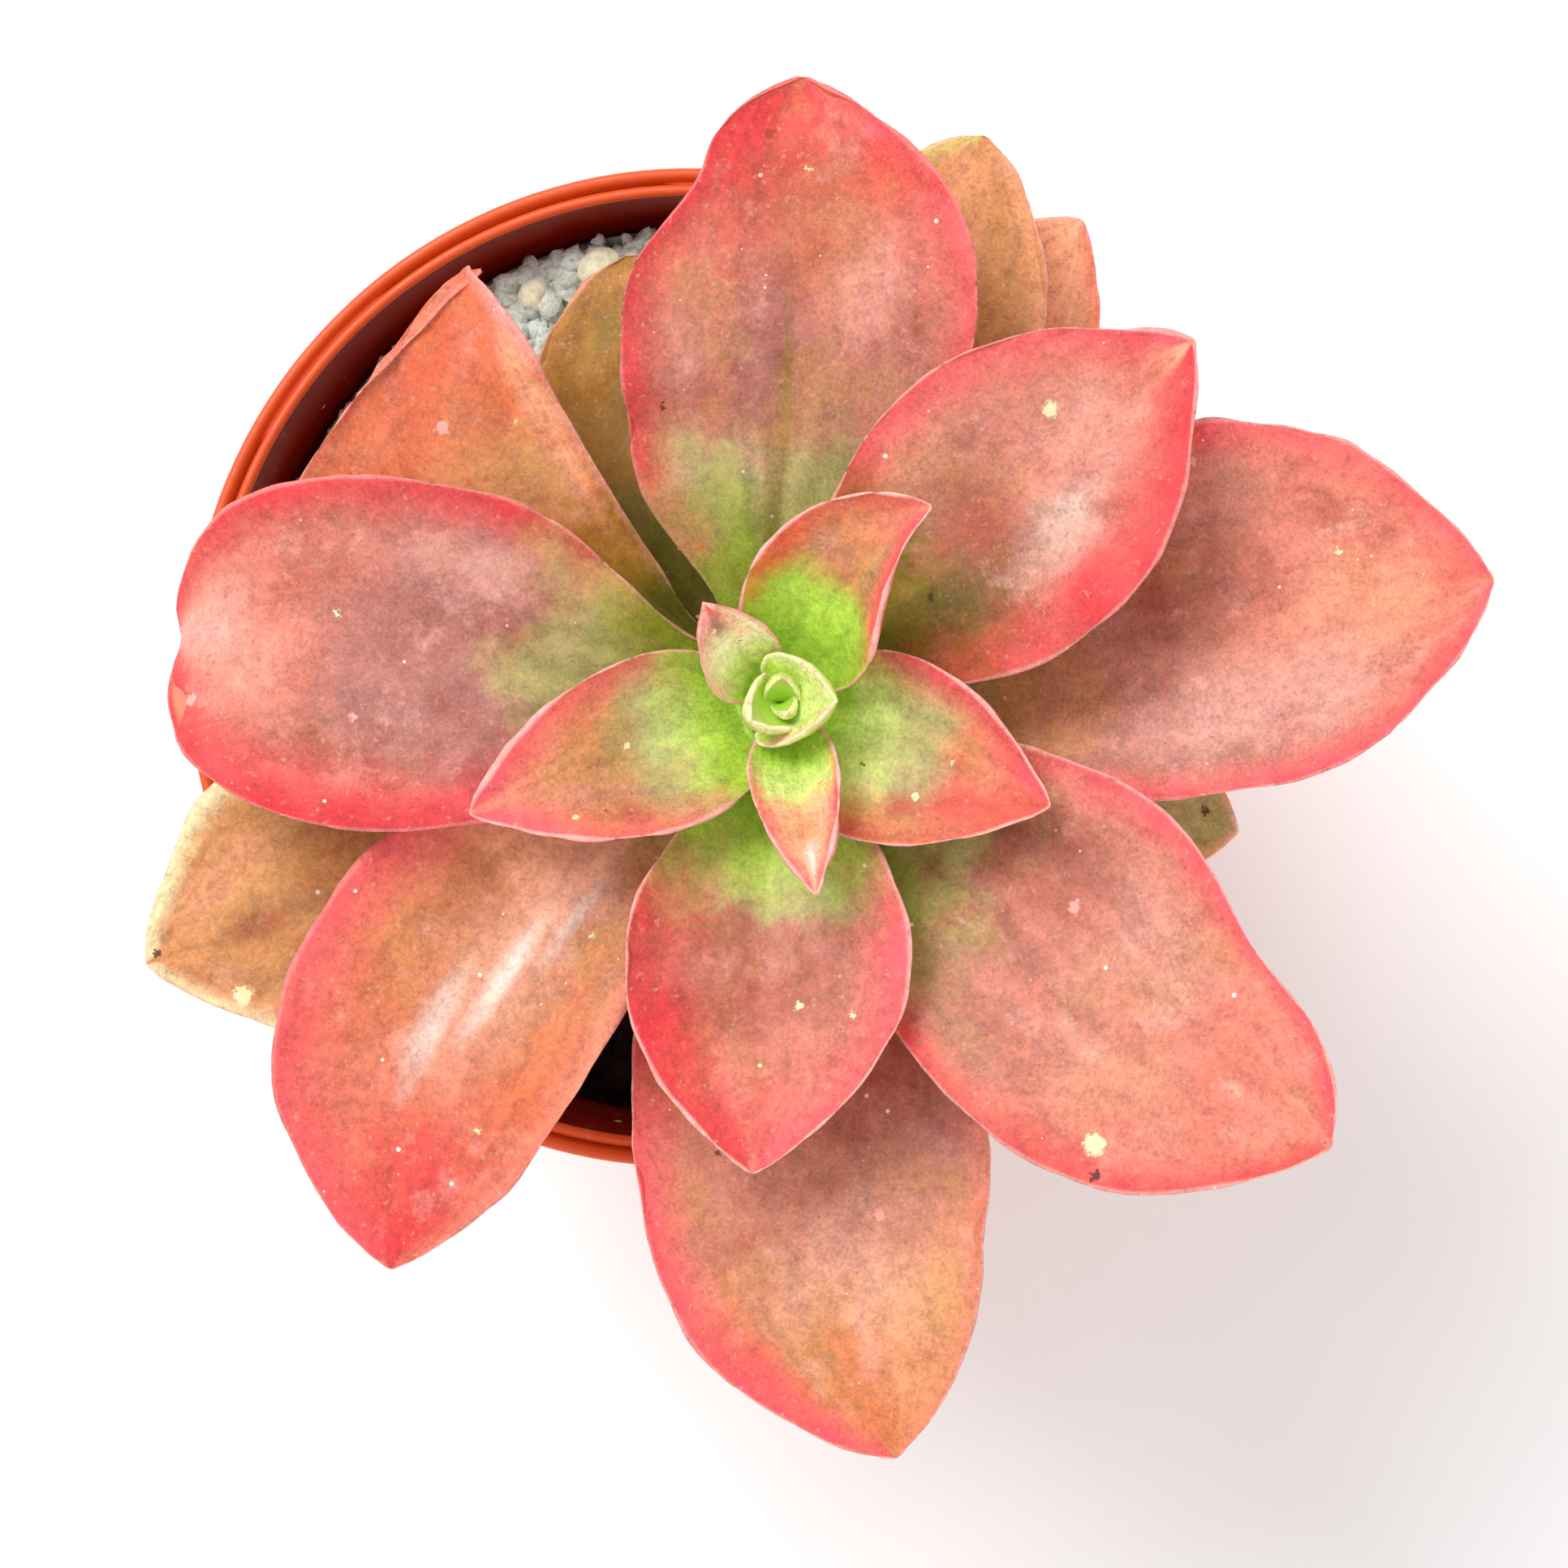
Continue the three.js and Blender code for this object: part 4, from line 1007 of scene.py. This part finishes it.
def leaf_material(piece, name, settings, seed):
    """The finish of one leaf, with its scabs where they lie."""
    look = LOOKS[name]
    r, tone, grain, blotchy = leaf_finish(name, look, settings, seed)
    height = r.calc("ADD", r.calc("MULTIPLY", grain, 0.35), blotchy)
    rough = r.fade(blotchy, 0.3, 0.7, settings.roughness - 0.07, settings.roughness + 0.1)
    jag = r.vector("SUBTRACT", r.noise(0.6 * MM, 4, 0.8, seed + 17, "Color"), (0.5, 0.5, 0.5))
    jag = r.vector("MULTIPLY", jag, (2.4 * MM, 2.4 * MM, 2.4 * MM))
    spot_place = r.vector("ADD", r.place, jag)
    for point, radius, tint in scab_places(piece, look):
        spot = r.fade(r.distance(spot_place, plain(point)), radius, radius * 0.7)
        tone = r.mix(r.calc("MULTIPLY", spot, 0.9), tone, paint(tint))
        height = r.calc("ADD", height, r.calc("MULTIPLY", spot, 0.8))
    return r.shade(
        Base_Color=tone,
        Roughness=rough,
        Normal=r.bump(height, 0.12 * MM, 0.55),
        Subsurface_Weight=settings.translucence,
        Subsurface_Radius=(1.0, 0.35, 0.2),
        Subsurface_Scale=1.6 * MM,
        Specular_IOR_Level=0.42,
        Coat_Weight=0.06,
        Coat_Roughness=0.35,
    )


def grow_leaves(group, settings):
    """Makes every leaf of a group."""
    for name in nodes_called(group + "_leaf"):
        piece = leaf_piece(name, settings)
        seed = 1.7 * list(LOOKS).index(name)
        coat(piece, leaf_material(piece, name, settings, seed))
        hand_in(piece, group + "_leaf", name)


class SUCCULENT_OT_core_leaves(bpy.types.Operator):
    """Grow the core leaves, still folded round the growing point"""

    bl_idname = "succulent.core_leaves"
    bl_label = "Core leaves"

    def execute(self, context):
        grow_leaves("core", context.scene.succulent.leaves)
        return {"FINISHED"}


class SUCCULENT_OT_young_leaves(bpy.types.Operator):
    """Grow the young leaves round the core"""

    bl_idname = "succulent.young_leaves"
    bl_label = "Young leaves"

    def execute(self, context):
        grow_leaves("young", context.scene.succulent.leaves)
        return {"FINISHED"}


class SUCCULENT_OT_inner_leaves(bpy.types.Operator):
    """Grow the two inner leaves in the tier over the outer ones"""

    bl_idname = "succulent.inner_leaves"
    bl_label = "Inner leaves"

    def execute(self, context):
        grow_leaves("inner", context.scene.succulent.leaves)
        return {"FINISHED"}


class SUCCULENT_OT_outer_leaves(bpy.types.Operator):
    """Grow the full-grown outer leaves"""

    bl_idname = "succulent.outer_leaves"
    bl_label = "Outer leaves"

    def execute(self, context):
        grow_leaves("outer", context.scene.succulent.leaves)
        return {"FINISHED"}


class SUCCULENT_OT_old_leaves(bpy.types.Operator):
    """Grow the old leaves under the others"""

    bl_idname = "succulent.old_leaves"
    bl_label = "Old leaves"

    def execute(self, context):
        grow_leaves("old", context.scene.succulent.leaves)
        return {"FINISHED"}


# ---------------------------------------------------------------- stem

# The growing point is drawn in and down over the stem's last stretch.
TIP_LENGTH = 14 * MM
TIP_DROP = 4 * MM
TIP_SLIMMING = 0.75


def stem_finish():
    """Dry bark, ringed with the scars of fallen leaves."""
    r = Recipe("stem_bark")
    barks = [(0.3, linear("5d4a26")), (0.55, linear("8d7a4c")), (0.75, linear("a79a6e"))]
    tone = r.ramp(r.noise(3 * MM, 5, 0.65), barks)
    green = r.fade(r.parts(r.place)[2], LIP + 10 * MM, STEM_TIP - 4 * MM)
    tone = r.mix(green, tone, paint("leaf_lime"))
    rings = r.node("ShaderNodeTexWave", {"Vector": r.place, "Scale": 70, "Distortion": 3, "Detail": 3},
                   bands_direction="Z").outputs["Fac"]
    scars = r.calc("MULTIPLY", r.fade(rings, 0.75, 1.0, 0.0, 0.5), r.calc("SUBTRACT", 1.0, green))
    tone = r.mix(scars, tone, linear("3d2c14"))
    return r.shade(Base_Color=tone, Roughness=0.85, Normal=r.bump(rings, 0.4 * MM, 0.7))


class SUCCULENT_OT_stem(bpy.types.Operator):
    """Grow the short stem that carries the leaves"""

    bl_idname = "succulent.stem"
    bl_label = "Stem"

    def execute(self, context):
        piece = copy_of_node("stem", "stem_fine")
        edit(piece)
        bpy.ops.mesh.tris_convert_to_quads(face_threshold=math.pi, shape_threshold=math.pi)
        finish_edit()
        apply_modifier(piece, "SUBSURF", "Bark", levels=3, render_levels=3)
        bumps(piece, "Knots", 0.5 * MM, 3.5 * MM, depth=2)
        self.draw_in_tip(piece)
        coat(piece, stem_finish())
        hand_in(piece, "stem", "stem")
        return {"FINISHED"}

    def draw_in_tip(self, piece):
        """Makes the growing point slender, so that the folded core leaves hide it."""
        points = vertex_values(piece.data.vertices, "co")
        tip = np.array(growing_point())
        near = ease(points[:, 2], tip[2] - TIP_LENGTH, tip[2] - TIP_DROP)
        points[:, :2] += (tip[:2] - points[:, :2]) * (TIP_SLIMMING * near)[:, None]
        points[:, 2] -= TIP_DROP * near
        move_vertices(piece, points)


# ---------------------------------------------------------------- pot

POT_STEPS = 144
LIP_HEIGHT = 1.6 * MM
BEAD_DROP = 0.25 * MM
CHANNEL_SLOPE = 1 * MM
FOOT_ROUND = 1 * MM
FLOOR_CORNER = 4.4 * MM
DRILL_STEPS = 24
DRILL_DEPTH = 12 * MM

# The inner finish, whose darker colour is painted shade, starts this far under the lip.
PAINTED_SHADE_LINE = 2.2 * MM


def pot_profile(pot):
    """Radius and height of each point of the pot's section, from the underside round to the floor."""
    collar_low = LIP - pot.collar
    wall_top = RIM_RADIUS - pot.lip_width / 2 - pot.collar_step
    collar = wall_top + pot.collar_step
    bead_out = RIM_RADIUS - pot.lip_width - pot.groove_width
    bead_in = bead_out - pot.bead_width
    lip_in = RIM_RADIUS - pot.lip_width
    lip_low = LIP - LIP_HEIGHT
    soft = 0.3 * MM

    def wall(height):
        """The wall's outside radius at a height."""
        return pot.base_radius + (wall_top - pot.base_radius) * height / collar_low

    def arc(centre, radius, start, end, steps=5):
        """Points on an arc, whose ends are in degrees."""
        angles = [math.radians(start + (end - start) * i / steps) for i in range(steps + 1)]
        return [(centre[0] + radius * math.cos(a), centre[1] + radius * math.sin(a)) for a in angles]

    bead_top = LIP - BEAD_DROP
    bead_round = pot.bead_width / 2
    lip_round = pot.lip_width / 2
    return [
        (0, 0),
        (pot.channel_inner - soft, 0),
        (pot.channel_inner, soft),
        (pot.channel_inner + CHANNEL_SLOPE, pot.channel_rise),
        (pot.channel_outer - CHANNEL_SLOPE, pot.channel_rise),
        (pot.channel_outer, soft),
        (pot.channel_outer + soft, 0),
        (pot.base_radius - 1.2 * MM, 0),
        *arc((wall(FOOT_ROUND) - FOOT_ROUND, FOOT_ROUND), FOOT_ROUND, -80, 0),
        (wall(collar_low * 0.33), collar_low * 0.33),
        (wall(collar_low * 0.66), collar_low * 0.66),
        (wall_top, collar_low - soft),
        (wall_top + soft, collar_low),
        (collar - soft, collar_low + 0.4 * MM),
        (collar, collar_low + 0.8 * MM),
        (collar, lip_low - soft),
        (RIM_RADIUS - soft / 2, lip_low),
        (RIM_RADIUS, lip_low + soft),
        *arc((RIM_RADIUS - lip_round, LIP - lip_round * 0.7), lip_round, 5, 175, 8),
        (lip_in, LIP - pot.groove_depth),
        (bead_out, LIP - pot.groove_depth),
        *arc((bead_out - bead_round, bead_top - bead_round), bead_round, 5, 175, 8),
        (bead_in, collar_low + soft),
        (bead_in - soft, collar_low),
        (wall(collar_low - 1.5 * MM) - pot.wall, collar_low - 1.5 * MM),
        (wall(collar_low * 0.5) - pot.wall, collar_low * 0.5),
        (wall(FLOOR_CORNER) - pot.wall, FLOOR_CORNER),
        (pot.channel_outer + soft, pot.floor),
        (pot.channel_outer - CHANNEL_SLOPE, pot.channel_rise + pot.floor),
        (pot.channel_inner + CHANNEL_SLOPE, pot.channel_rise + pot.floor),
        (pot.channel_inner - soft, pot.floor),
        (0, pot.floor),
    ]


def pot_finish(name, tint, dust, dark, gloss):
    """Moulded plastic, slightly cloudy, with scuffs, dust and upright water marks."""
    r = Recipe(name)
    stretch = r.node("ShaderNodeMapping", {"Vector": r.place, "Scale": (1, 1, 0.12)}).outputs[0]
    cloud = r.noise(9 * MM, 3, 0.55, 2)
    tone = r.mix(r.fade(cloud, 0.3, 0.75, 0.0, 0.18), tint, dark)
    streak = r.noise(2.2 * MM, 4, 0.6, 5, place=stretch)
    tone = r.mix(r.fade(streak, 0.60, 0.74, 0.0, dust), tone, linear("c79a8c"))
    tone = r.mix(r.dots(4 * MM, 3, (0.14, 0.08), 0.84, 0.9, 0.9), tone, linear("fff2ea"))
    scuff = r.fade(r.noise(1.4 * MM, 5, 0.8, 9), 0.66, 0.76, 0.0, 0.7 * dust)
    tone = r.mix(scuff, tone, linear("ffe0d4"))
    fine = r.noise(0.5 * MM, 3, 0.6, 11)
    rough = r.fade(r.calc("ADD", fine, cloud), 0.7, 1.3, 0.32, 0.52)
    return r.shade(Base_Color=tone, Roughness=rough, Normal=r.bump(fine, 0.05 * MM, 0.5),
                   Specular_IOR_Level=gloss, Subsurface_Weight=0.05, Subsurface_Scale=1 * MM,
                   Subsurface_Radius=(1.0, 0.3, 0.1))


class SUCCULENT_OT_pot(bpy.types.Operator):
    """Turn the nursery pot, with its double rim and drain holes"""

    bl_idname = "succulent.pot"
    bl_label = "Pot"

    def execute(self, context):
        pot = context.scene.succulent.pot
        profile = pot_profile(pot)
        mesh = bpy.data.meshes.new("pot_fine")
        mesh.from_pydata([(r, 0, z) for r, z in profile], [(i, i + 1) for i in range(len(profile) - 1)], [])
        piece = bpy.data.objects.new("pot_fine", mesh)
        context.scene.collection.objects.link(piece)
        edit(piece)
        bpy.ops.mesh.spin(steps=POT_STEPS, angle=2 * math.pi, center=(0, 0, 0), axis=(0, 0, 1))
        bpy.ops.mesh.select_all(action="SELECT")
        bpy.ops.mesh.remove_doubles(threshold=MERGE_TURNED)
        bpy.ops.mesh.normals_make_consistent(inside=False)
        finish_edit()
        self.drill(piece, pot)
        bumps(piece, "Warp", 0.12 * MM, 20 * MM)
        outside = pot_finish("pot_outside", list(pot.outside), 0.3, linear("c23f10"), 0.5)
        # the inner finish: the plastic darkened as painted shade of the inner wall and floor
        inside = pot_finish("pot_inside_painted_shade", list(pot.inside), 0.25, linear("5c0c02"), 0.22)
        coat(piece, outside, inside)
        # faces of the inner wall and floor deep under the lip take the painted shade finish
        for face in piece.data.polygons:
            centre = face.center
            inward = face.normal.x * centre.x + face.normal.y * centre.y < 0
            deep = pot.floor * 0.9 < centre.z < LIP - PAINTED_SHADE_LINE
            face.material_index = int(deep and (inward or face.normal.z > 0.9))
        points = vertex_values(piece.data.vertices, "co")
        points[:, 2] = np.maximum(points[:, 2], 0)
        move_vertices(piece, points)
        hand_in(piece, "pot_plastic", "pot")
        return {"FINISHED"}

    def drill(self, piece, pot):
        """Cuts the drain holes through the floor."""
        ring = (pot.channel_inner + pot.channel_outer) / 2
        drills = []
        for i in range(pot.drain_count):
            angle = i * 2 * math.pi / pot.drain_count
            where = (ring * math.cos(angle), ring * math.sin(angle), pot.channel_rise)
            deselect()
            bpy.ops.mesh.primitive_cylinder_add(vertices=DRILL_STEPS, radius=pot.drain_radius,
                                                depth=DRILL_DEPTH, location=where)
            drills.append(bpy.context.object)
        deselect()
        for drill in drills:
            drill.select_set(True)
        bpy.context.view_layer.objects.active = drills[0]
        bpy.ops.object.join()
        cutter = drills[0]
        apply_modifier(piece, "BOOLEAN", "Drain", object=cutter, operation="DIFFERENCE", solver="EXACT")
        bpy.data.objects.remove(cutter)


# ---------------------------------------------------------------- fill

# Rows of a grid of triangles lie closer than its points, and each point strays by this share.
ROW_PITCH = 0.87
STRAY = 0.35

# Grains outside this radius are checked against the pot's wall.
INNER_RADIUS = 0.8 * RIM_RADIUS

# A stone's clearance from the wall, as a share of its width.
WALL_CLEARANCE = 0.85

# Stones of each kind that are modelled, and then copied: how each copy is stretched along x, y and z,
# and turned about z, x and y.
STONE_FORMS = 6
STONE_STRETCH = ((0.8, 1.2), (0.7, 1.1), (0.6, 0.95))
STONE_TURN = ((0, 2 * math.pi), (-0.5, 0.5), (-0.5, 0.5))


def surface_below(tree, x, y):
    """Height of a surface straight below a place, or None."""
    hit = tree.ray_cast(Vector((x, y, LIP + 50 * MM)), Vector((0, 0, -1)))
    return None if hit[0] is None else hit[0].z


def fits_inside(tree, x, y, width):
    """Whether a stone of that width at a place stays clear of the pot's wall."""
    outwards = 1 + WALL_CLEARANCE * width / max(math.hypot(x, y), width)
    return surface_below(tree, x * outwards, y * outwards) is not None


def stone_cage(name, seed, rough):
    """A small stone of two dozen faces, knocked out of round."""
    deselect()
    bpy.ops.mesh.primitive_cube_add(size=1)
    stone = bpy.context.object
    stone.name = name
    edit(stone)
    bpy.ops.mesh.subdivide(number_cuts=1)
    bpy.ops.transform.tosphere(value=0.8)
    bpy.ops.transform.vertex_random(offset=rough, uniform=1.0, seed=seed)
    finish_edit()
    return stone


def scatter(name, places, cages, draw):
    """One piece that holds a turned and stretched copy of a stone at each (point, width)."""
    forms = []
    for cage in cages:
        points = np.array([v.co for v in cage.data.vertices])
        faces = np.array([list(p.vertices) for p in cage.data.polygons])
        forms.append((points, faces))
    points, faces, start = [], [], 0
    for point, width in places:
        form, cells = forms[draw.randrange(len(forms))]
        stretch = np.array([draw.uniform(*ends) for ends in STONE_STRETCH]) * width
        (cz, sz), (cx, sx), (cy, sy) = [
            (math.cos(angle), math.sin(angle)) for angle in [draw.uniform(*ends) for ends in STONE_TURN]
        ]
        turn_z = np.array([[cz, -sz, 0], [sz, cz, 0], [0, 0, 1]])
        turn_x = np.array([[1, 0, 0], [0, cx, -sx], [0, sx, cx]])
        turn_y = np.array([[cy, 0, sy], [0, 1, 0], [-sy, 0, cy]])
        points.append((form * stretch) @ (turn_z @ turn_x @ turn_y).T + np.array(point))
        faces.append(cells + start)
        start += len(form)
    mesh = bpy.data.meshes.new(name)
    mesh.from_pydata(np.vstack(points).tolist(), [], np.vstack(faces).tolist())
    piece = bpy.data.objects.new(name, mesh)
    bpy.context.scene.collection.objects.link(piece)
    for cage in cages:
        bpy.data.objects.remove(cage)
    return piece


def jittered_places(spacing, radius, draw):
    """Places in a disc on a grid of triangles, each shifted a little."""
    rows = int(radius / (spacing * ROW_PITCH)) + 1
    columns = int(radius / spacing) + 1
    found = []
    for row in range(-rows, rows + 1):
        for column in range(-columns, columns + 1):
            x = (column + 0.5 * (row % 2)) * spacing + draw.uniform(-STRAY, STRAY) * spacing
            y = row * ROW_PITCH * spacing + draw.uniform(-STRAY, STRAY) * spacing
            if math.hypot(x, y) < radius:
                found.append((x, y))
    return found


def pumice_finish(fill):
    """Rough white grains, with painted grey-green shade in the hollows."""
    r = Recipe("pumice_grain")
    rough = r.noise(1.0 * MM, 5, 0.75, 1)
    # the low noise, which the bump also sinks, is painted grey-green shade
    stops = [(0.33, list(fill.pumice_painted_shade)), (0.43, linear("e2eadb")), (0.52, list(fill.pumice))]
    tone = r.ramp(rough, stops)
    tint = r.fade(r.noise(3.5 * MM, 2, 0.5, 4), 0.55, 0.75, 0.0, 0.25)
    tone = r.mix(tint, tone, linear("f4ecd6"))
    return r.shade(Base_Color=tone, Roughness=0.95, Normal=r.bump(rough, 0.7 * MM, 1.0),
                   Specular_IOR_Level=0.25)


def bed_finish():
    """The layer under the loose grains, seen only through their gaps, in grey painted shade that darkens at
    the cell edges.
    """
    r = Recipe("pumice_bed_painted_shade")
    cell = r.cells(2.2 * MM, 2)
    # grey, and near black at the cell edges: painted shade in the gaps between grains
    tone = r.ramp(cell, [(0.0, linear("b9bfb4")), (0.35, linear("8d958a")), (0.8, linear("3c3f36"))])
    return r.shade(Base_Color=tone, Roughness=1.0, Normal=r.bump(cell, 0.8 * MM, 1.0))


def soil_finish(name, fill):
    """Damp dark peat with a few brown fibres and pale specks."""
    r = Recipe(name)
    fine = r.noise(1.6 * MM, 6, 0.75, 2)
    tone = r.ramp(fine, [(0.3, linear("0b0504")), (0.55, list(fill.soil)), (0.8, linear("54301e"))])
    fleck = r.fade(r.cells(3 * MM, 1), 0.12, 0.06, 0.0, 0.5)
    tone = r.mix(fleck, tone, linear("a58a6c"))
    return r.shade(Base_Color=tone, Roughness=0.95, Normal=r.bump(fine, 0.6 * MM, 1.0),
                   Specular_IOR_Level=0.3)


class SUCCULENT_OT_dressing(bpy.types.Operator):
    """Pour the pumice grains over their layer"""

    bl_idname = "succulent.dressing"
    bl_label = "Pumice dressing"

    def execute(self, context):
        fill = context.scene.succulent.fill
        draw = random.Random(fill.seed)
        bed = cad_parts["pumice_dressing"]
        tree = BVHTree.FromObject(bed, context.evaluated_depsgraph_get())
        places = []
        for layer, rise in ((0, 0.0), (1, 0.55)):
            for x, y in jittered_places(fill.spacing * (1 + 0.9 * layer), RIM_RADIUS, draw):
                top = surface_below(tree, x, y)
                width = fill.grain * draw.uniform(0.6, 1.35)
                near_wall = math.hypot(x, y) > INNER_RADIUS and not fits_inside(tree, x, y, width)
                if top is None or near_wall:
                    continue
                places.append(((x, y, top + rise * fill.grain + draw.uniform(-0.1, 0.3) * width), width))
        cages = [stone_cage(f"grain_{i}", i + 1, 0.16) for i in range(STONE_FORMS)]
        piece = scatter("pumice_grains", places, cages, draw)
        coat(piece, pumice_finish(fill))
        hand_in(piece, "pumice")
        coat_node("pumice_dressing", bed_finish())
        return {"FINISHED"}


class SUCCULENT_OT_soil(bpy.types.Operator):
    """Crumble the potting soil where the dressing leaves it bare"""

    bl_idname = "succulent.soil"
    bl_label = "Potting soil"

    def execute(self, context):
        fill = context.scene.succulent.fill
        draw = random.Random(fill.seed + 1)
        graph = context.evaluated_depsgraph_get()
        bed = BVHTree.FromObject(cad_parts["pumice_dressing"], graph)
        soil = BVHTree.FromObject(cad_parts["soil"], graph)
        places = []
        for x, y in jittered_places(fill.crumb * 0.75, RIM_RADIUS, draw):
            ground = surface_below(soil, x, y)
            width = fill.crumb * draw.uniform(0.5, 1.6)
            hidden = surface_below(bed, x, y) is not None
            if ground is None or hidden or not fits_inside(soil, x, y, width):
                continue
            places.append(((x, y, ground + draw.uniform(0.0, 0.5) * width), width))
        cages = [stone_cage(f"crumb_{i}", i + 11, 0.22) for i in range(STONE_FORMS)]
        piece = scatter("soil_crumbs", places, cages, draw)
        coat(piece, soil_finish("soil_crumb", fill))
        hand_in(piece, "potting_soil")
        coat_node("soil", soil_finish("soil_body", fill))
        return {"FINISHED"}


def pebble_finish(fill):
    """Chalky cream stone with soft hollows."""
    r = Recipe("pebble_stone")
    rough = r.noise(1.4 * MM, 5, 0.7, 3)
    tone = r.ramp(rough, [(0.3, linear("d9d0a8")), (0.6, list(fill.pebble))])
    return r.shade(Base_Color=tone, Roughness=0.9, Normal=r.bump(rough, 0.3 * MM, 0.9))


class SUCCULENT_OT_pebbles(bpy.types.Operator):
    """Lay the larger loose stones on the dressing"""

    bl_idname = "succulent.pebbles"
    bl_label = "Pale pebbles"

    def execute(self, context):
        fill = context.scene.succulent.fill
        stone = pebble_finish(fill)
        for node in sorted(nodes_called("pale_pebble")):
            piece = copy_of_node(node, node + "_fine")
            apply_modifier(piece, "SUBSURF", "Round", levels=2, render_levels=2)
            bumps(piece, "Hollows", 0.5 * MM, 1.8 * MM, depth=2)
            coat(piece, stone)
            hand_in(piece, "pebble", node)
        return {"FINISHED"}


# ---------------------------------------------------------------- stage

# Size and place of the two soft lights.
KEY_SIZE, KEY_PLACE = 0.9, (-0.75, 0.85, 1.6)
FILL_SIZE, FILL_PLACE = 1.2, (0.6, -0.5, 1.8)

# In millimetres, as for a camera's lens.
SENSOR_WIDTH = 36

# The floor is flat out to the first share of its half width, then rises by (share, height) steps.
FLAT_SHARE = 0.7
SWEEP = ((0.9, 0.03), (1.0, 0.15), (1.04, 0.45))


def softbox(name, power, size, where, target):
    """A square soft light that faces a point."""
    deselect()
    bpy.ops.object.light_add(type="AREA", location=where)
    lamp = bpy.context.object
    lamp.name = name
    lamp.data.energy = power
    lamp.data.size = size
    lamp.rotation_euler = (Vector(target) - Vector(where)).to_track_quat("-Z", "Y").to_euler()


class SUCCULENT_OT_stage(bpy.types.Operator):
    """Set the pale floor, the soft lights and the camera"""

    bl_idname = "succulent.stage"
    bl_label = "Stage"

    def execute(self, context):
        stage = context.scene.succulent.stage
        floor = self.sweep(stage)
        r = Recipe("stage_floor")
        wash = r.fade(r.noise(0.3, 2), 0.3, 0.7, 0.0, 0.05)
        coat(floor, r.shade(Base_Color=r.mix(wash, list(stage.floor), linear("f2f2f0")), Roughness=0.9))

        world = bpy.data.worlds.new("studio_daylight")
        world.use_nodes = True
        sky = world.node_tree.nodes["Background"]
        sky.inputs["Color"].default_value = (1, 1, 1, 1)
        sky.inputs["Strength"].default_value = stage.daylight
        context.scene.world = world
        softbox("key_light", stage.key, KEY_SIZE, KEY_PLACE, stage.target)
        softbox("fill_light", stage.fill, FILL_SIZE, FILL_PLACE, stage.target)
        context.scene.view_settings.view_transform = "Standard"

        deselect()
        bpy.ops.object.camera_add(location=stage.camera)
        camera = context.object
        camera.name = "stage_camera"
        ahead = (Vector(stage.target) - Vector(stage.camera)).normalized()
        right = ahead.cross(Vector((0, 1, 0))).normalized()
        up = right.cross(ahead)
        turn = np.array([list(right), list(up), list(-ahead)]).T.tolist()
        camera.rotation_euler = Matrix(turn).to_euler()
        camera.data.type = "PERSP"
        camera.data.sensor_width = SENSOR_WIDTH
        camera.data.lens = stage.lens
        camera.data.dof.use_dof = False
        context.scene.camera = camera
        return {"FINISHED"}

    def sweep(self, stage):
        """A round floor whose edge curves up into a low backdrop."""
        deselect()
        size = stage.floor_size
        bpy.ops.mesh.primitive_circle_add(vertices=64, radius=FLAT_SHARE * size, fill_type="NGON")
        floor = bpy.context.object
        floor.name = "stage_floor"
        edit(floor)
        bpy.ops.mesh.region_to_loop()
        before, low = FLAT_SHARE, 0.0
        for reach, height in SWEEP:
            bpy.ops.mesh.extrude_edges_move()
            grow = reach / before
            bpy.ops.transform.resize(value=(grow, grow, 1), center_override=(0, 0, 0))
            bpy.ops.transform.translate(value=(0, 0, (height - low) * size))
            before, low = reach, height
        finish_edit()
        bpy.ops.object.shade_smooth()
        return floor


# ---------------------------------------------------------------- panel and run

OPERATORS = [
    SUCCULENT_OT_stage,
    SUCCULENT_OT_pot,
    SUCCULENT_OT_soil,
    SUCCULENT_OT_dressing,
    SUCCULENT_OT_pebbles,
    SUCCULENT_OT_stem,
    SUCCULENT_OT_old_leaves,
    SUCCULENT_OT_outer_leaves,
    SUCCULENT_OT_inner_leaves,
    SUCCULENT_OT_young_leaves,
    SUCCULENT_OT_core_leaves,
]


class SUCCULENT_PT_panel(bpy.types.Panel):
    """Lists the pieces in the order that they are made"""

    bl_idname = "SUCCULENT_PT_panel"
    bl_label = "Rosette succulent"
    bl_space_type = "VIEW_3D"
    bl_region_type = "UI"
    bl_category = "Succulent"

    def draw(self, context):
        for operator in OPERATORS:
            self.layout.operator(operator.bl_idname)
        for group in ("leaves", "pot", "fill", "stage"):
            box = self.layout.box()
            settings = getattr(context.scene.succulent, group)
            for name in settings.__annotations__:
                box.prop(settings, name)


CLASSES = [
    SucculentLeafSettings,
    SucculentPotSettings,
    SucculentFillSettings,
    SucculentStageSettings,
    SucculentSettings,
    *OPERATORS,
    SUCCULENT_PT_panel,
]


def register():
    """Registers the settings, the operators and the panel."""
    for cls in CLASSES:
        bpy.utils.register_class(cls)
    bpy.types.Scene.succulent = PointerProperty(type=SucculentSettings, name="Succulent")


def unregister():
    """Takes them away again."""
    del bpy.types.Scene.succulent
    for cls in reversed(CLASSES):
        bpy.utils.unregister_class(cls)


def main():
    register()
    for operator in OPERATORS:
        group, name = operator.bl_idname.split(".")
        getattr(getattr(bpy.ops, group), name)()


if __name__ == "__main__":
    main()
